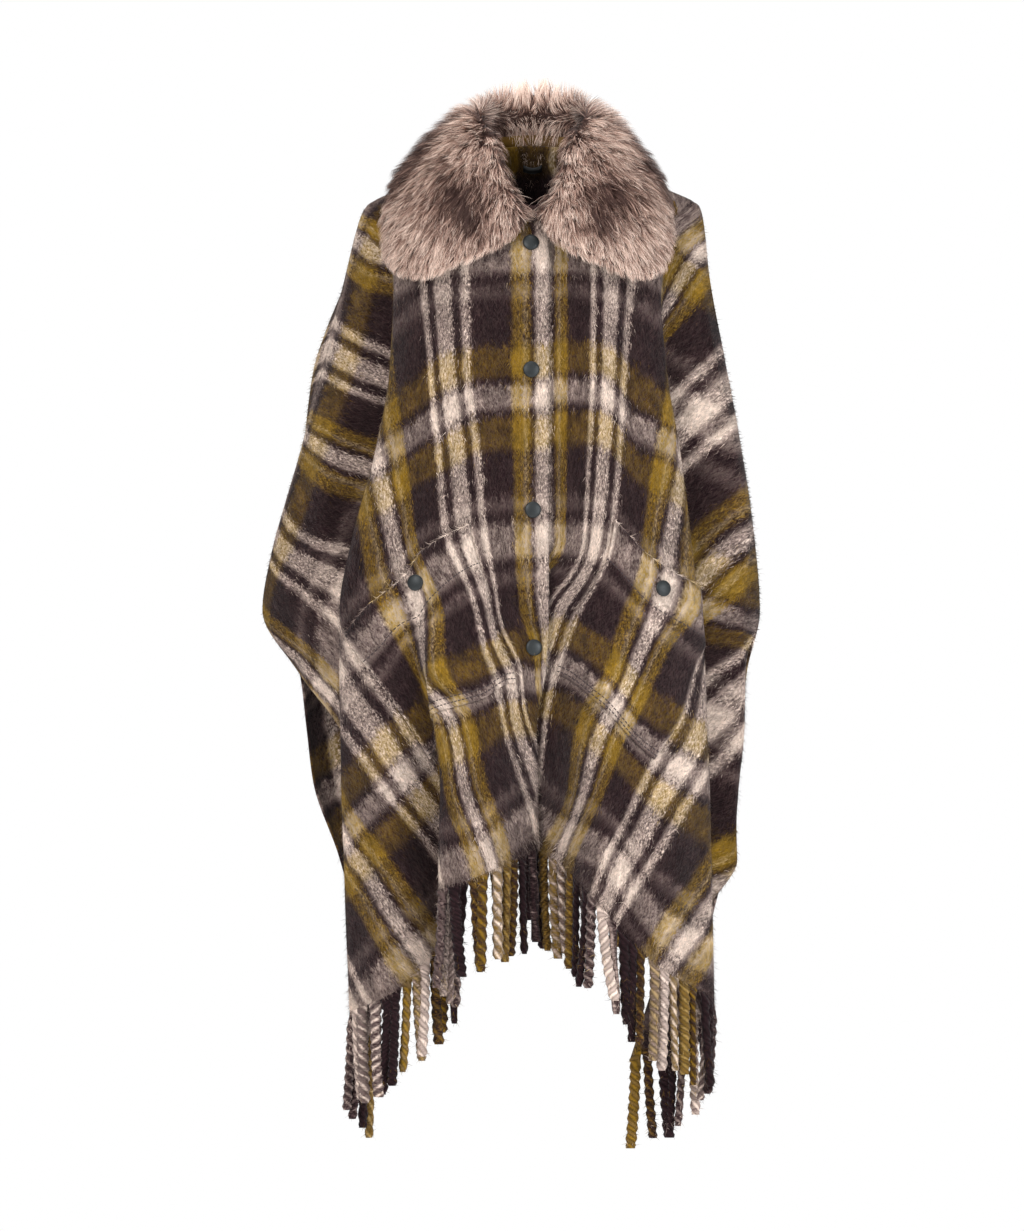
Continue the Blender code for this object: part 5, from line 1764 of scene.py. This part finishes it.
def area_light(name, place, aim, size, power, tint):
    """A round soft light."""
    data = bpy.data.lights.new(name, "AREA")
    data.shape = "DISK"
    data.size = size
    data.energy = power
    data.color = tint
    lamp = bpy.data.objects.new(name, data)
    lamp.location = place
    lamp.rotation_euler = (Vector(aim) - Vector(place)).to_track_quat("-Z", "Y").to_euler()
    bpy.context.scene.collection.objects.link(lamp)


def make_world():
    """White surroundings that the camera sees brighter than the cloth does."""
    world = bpy.data.worlds.new("studio")
    world.use_nodes = True
    make = Nodes(world.node_tree)
    seen = make.add("ShaderNodeLightPath").outputs["Is Camera Ray"]
    strength = make.weighed((WORLD_LIGHT, 1.0 - WORLD_LIGHT), seen)
    make.fill(world.node_tree.nodes["Background"], Color=(*WHITE, 1), Strength=strength)
    bpy.context.scene.world = world


def make_stage():
    """A round pale floor, white surroundings and soft lights."""
    angles = 2 * math.pi * np.arange(FLOOR_SIDES) / FLOOR_SIDES
    points = [(FLOOR_RADIUS * math.cos(a), FLOOR_RADIUS * math.sin(a), FLOOR_LEVEL) for a in angles]
    mesh = bpy.data.meshes.new("floor")
    mesh.from_pydata(points, [], [tuple(range(FLOOR_SIDES))])
    mesh.materials.append(paper_material())
    floor = bpy.data.objects.new("floor", mesh)
    bpy.context.scene.collection.objects.link(floor)
    make_world()
    for light in LIGHTS:
        area_light(*light)
    bpy.context.scene.view_settings.view_transform = "Standard"


# The whole garment


def make_walls(shells, wool):
    """The three panels, each as a thin wall."""
    walls = {}
    for node, shell in shells.items():
        walls[node] = make_wall("cloth_" + node, node, shell, WALL, wool, WALL_TURNS[node])
    return walls


def make_pockets(right, left, shells, wool, thread):
    """Both patches with their stitches, by the front that each lies on."""
    made = {}
    patches = (("right", right, POCKET_RIGHT, POCKET_RIGHT_LAST),
               ("left", left, POCKET_LEFT, POCKET_LEFT_LAST))
    for side, panel, where, last in patches:
        node, front = "pocket_" + side, "front_" + side
        patch = Patch(panel, shells[front], where, last)
        piece = make_wall("patch_" + node, node, patch, POCKET_WALL, wool, WALL_TURNS[front])
        stitches = make_stitches(node, panel, shells[front], where, last, thread)
        made[front] = patch
    return made


def make_snaps(right, left, metal):
    """The caps down the lap and at the pocket mouths."""
    for i, centre in enumerate(FRONT_SNAPS):
        make_snap(f"snap_front_{i + 1}", right, -1, centre, WALL / 2, FRONT_SNAP_LAST, metal)
    lift = WALL / 2 + POCKET_GAP + POCKET_WALL + POCKET_SNAP_LIFT
    make_snap("snap_pocket_right", right, -1, POCKET_RIGHT_SNAP, lift, POCKET_RIGHT_SNAP_LAST, metal)
    make_snap("snap_pocket_left", left, 1, POCKET_LEFT_SNAP, lift, POCKET_LEFT_SNAP_LAST, metal)


def main():
    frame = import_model()
    wool = wool_material("wool_plaid")
    nap = wool_material("wool_nap", NAP_GAIN)
    yarn = yarn_material()
    fur = fur_material()
    metal = snap_material()
    ribbon = ribbon_material()
    right, left, back = make_panels()
    shells = {"front_right": Shell(right), "front_left": Shell(left), "back": Shell(back)}
    walls = make_walls(shells, wool)
    patches = make_pockets(right, left, shells, wool, thread_material())
    for node, shell in shells.items():
        strands = [Strand(*root) for root in zip(*hem_roots(shell))]
        fringe = make_fringe("strands_" + node, "fringe_" + node, strands, yarn)
        hairs = make_nap("nap_" + node, shell, strands, patches.get(node), nap)
    make_snaps(right, left, metal)
    make_band(shells, wool)
    make_hanger(ribbon)
    make_fur(Skin(frame["nodes"]["collar"], fur), fur)
    make_camera()
    make_stage()


main()
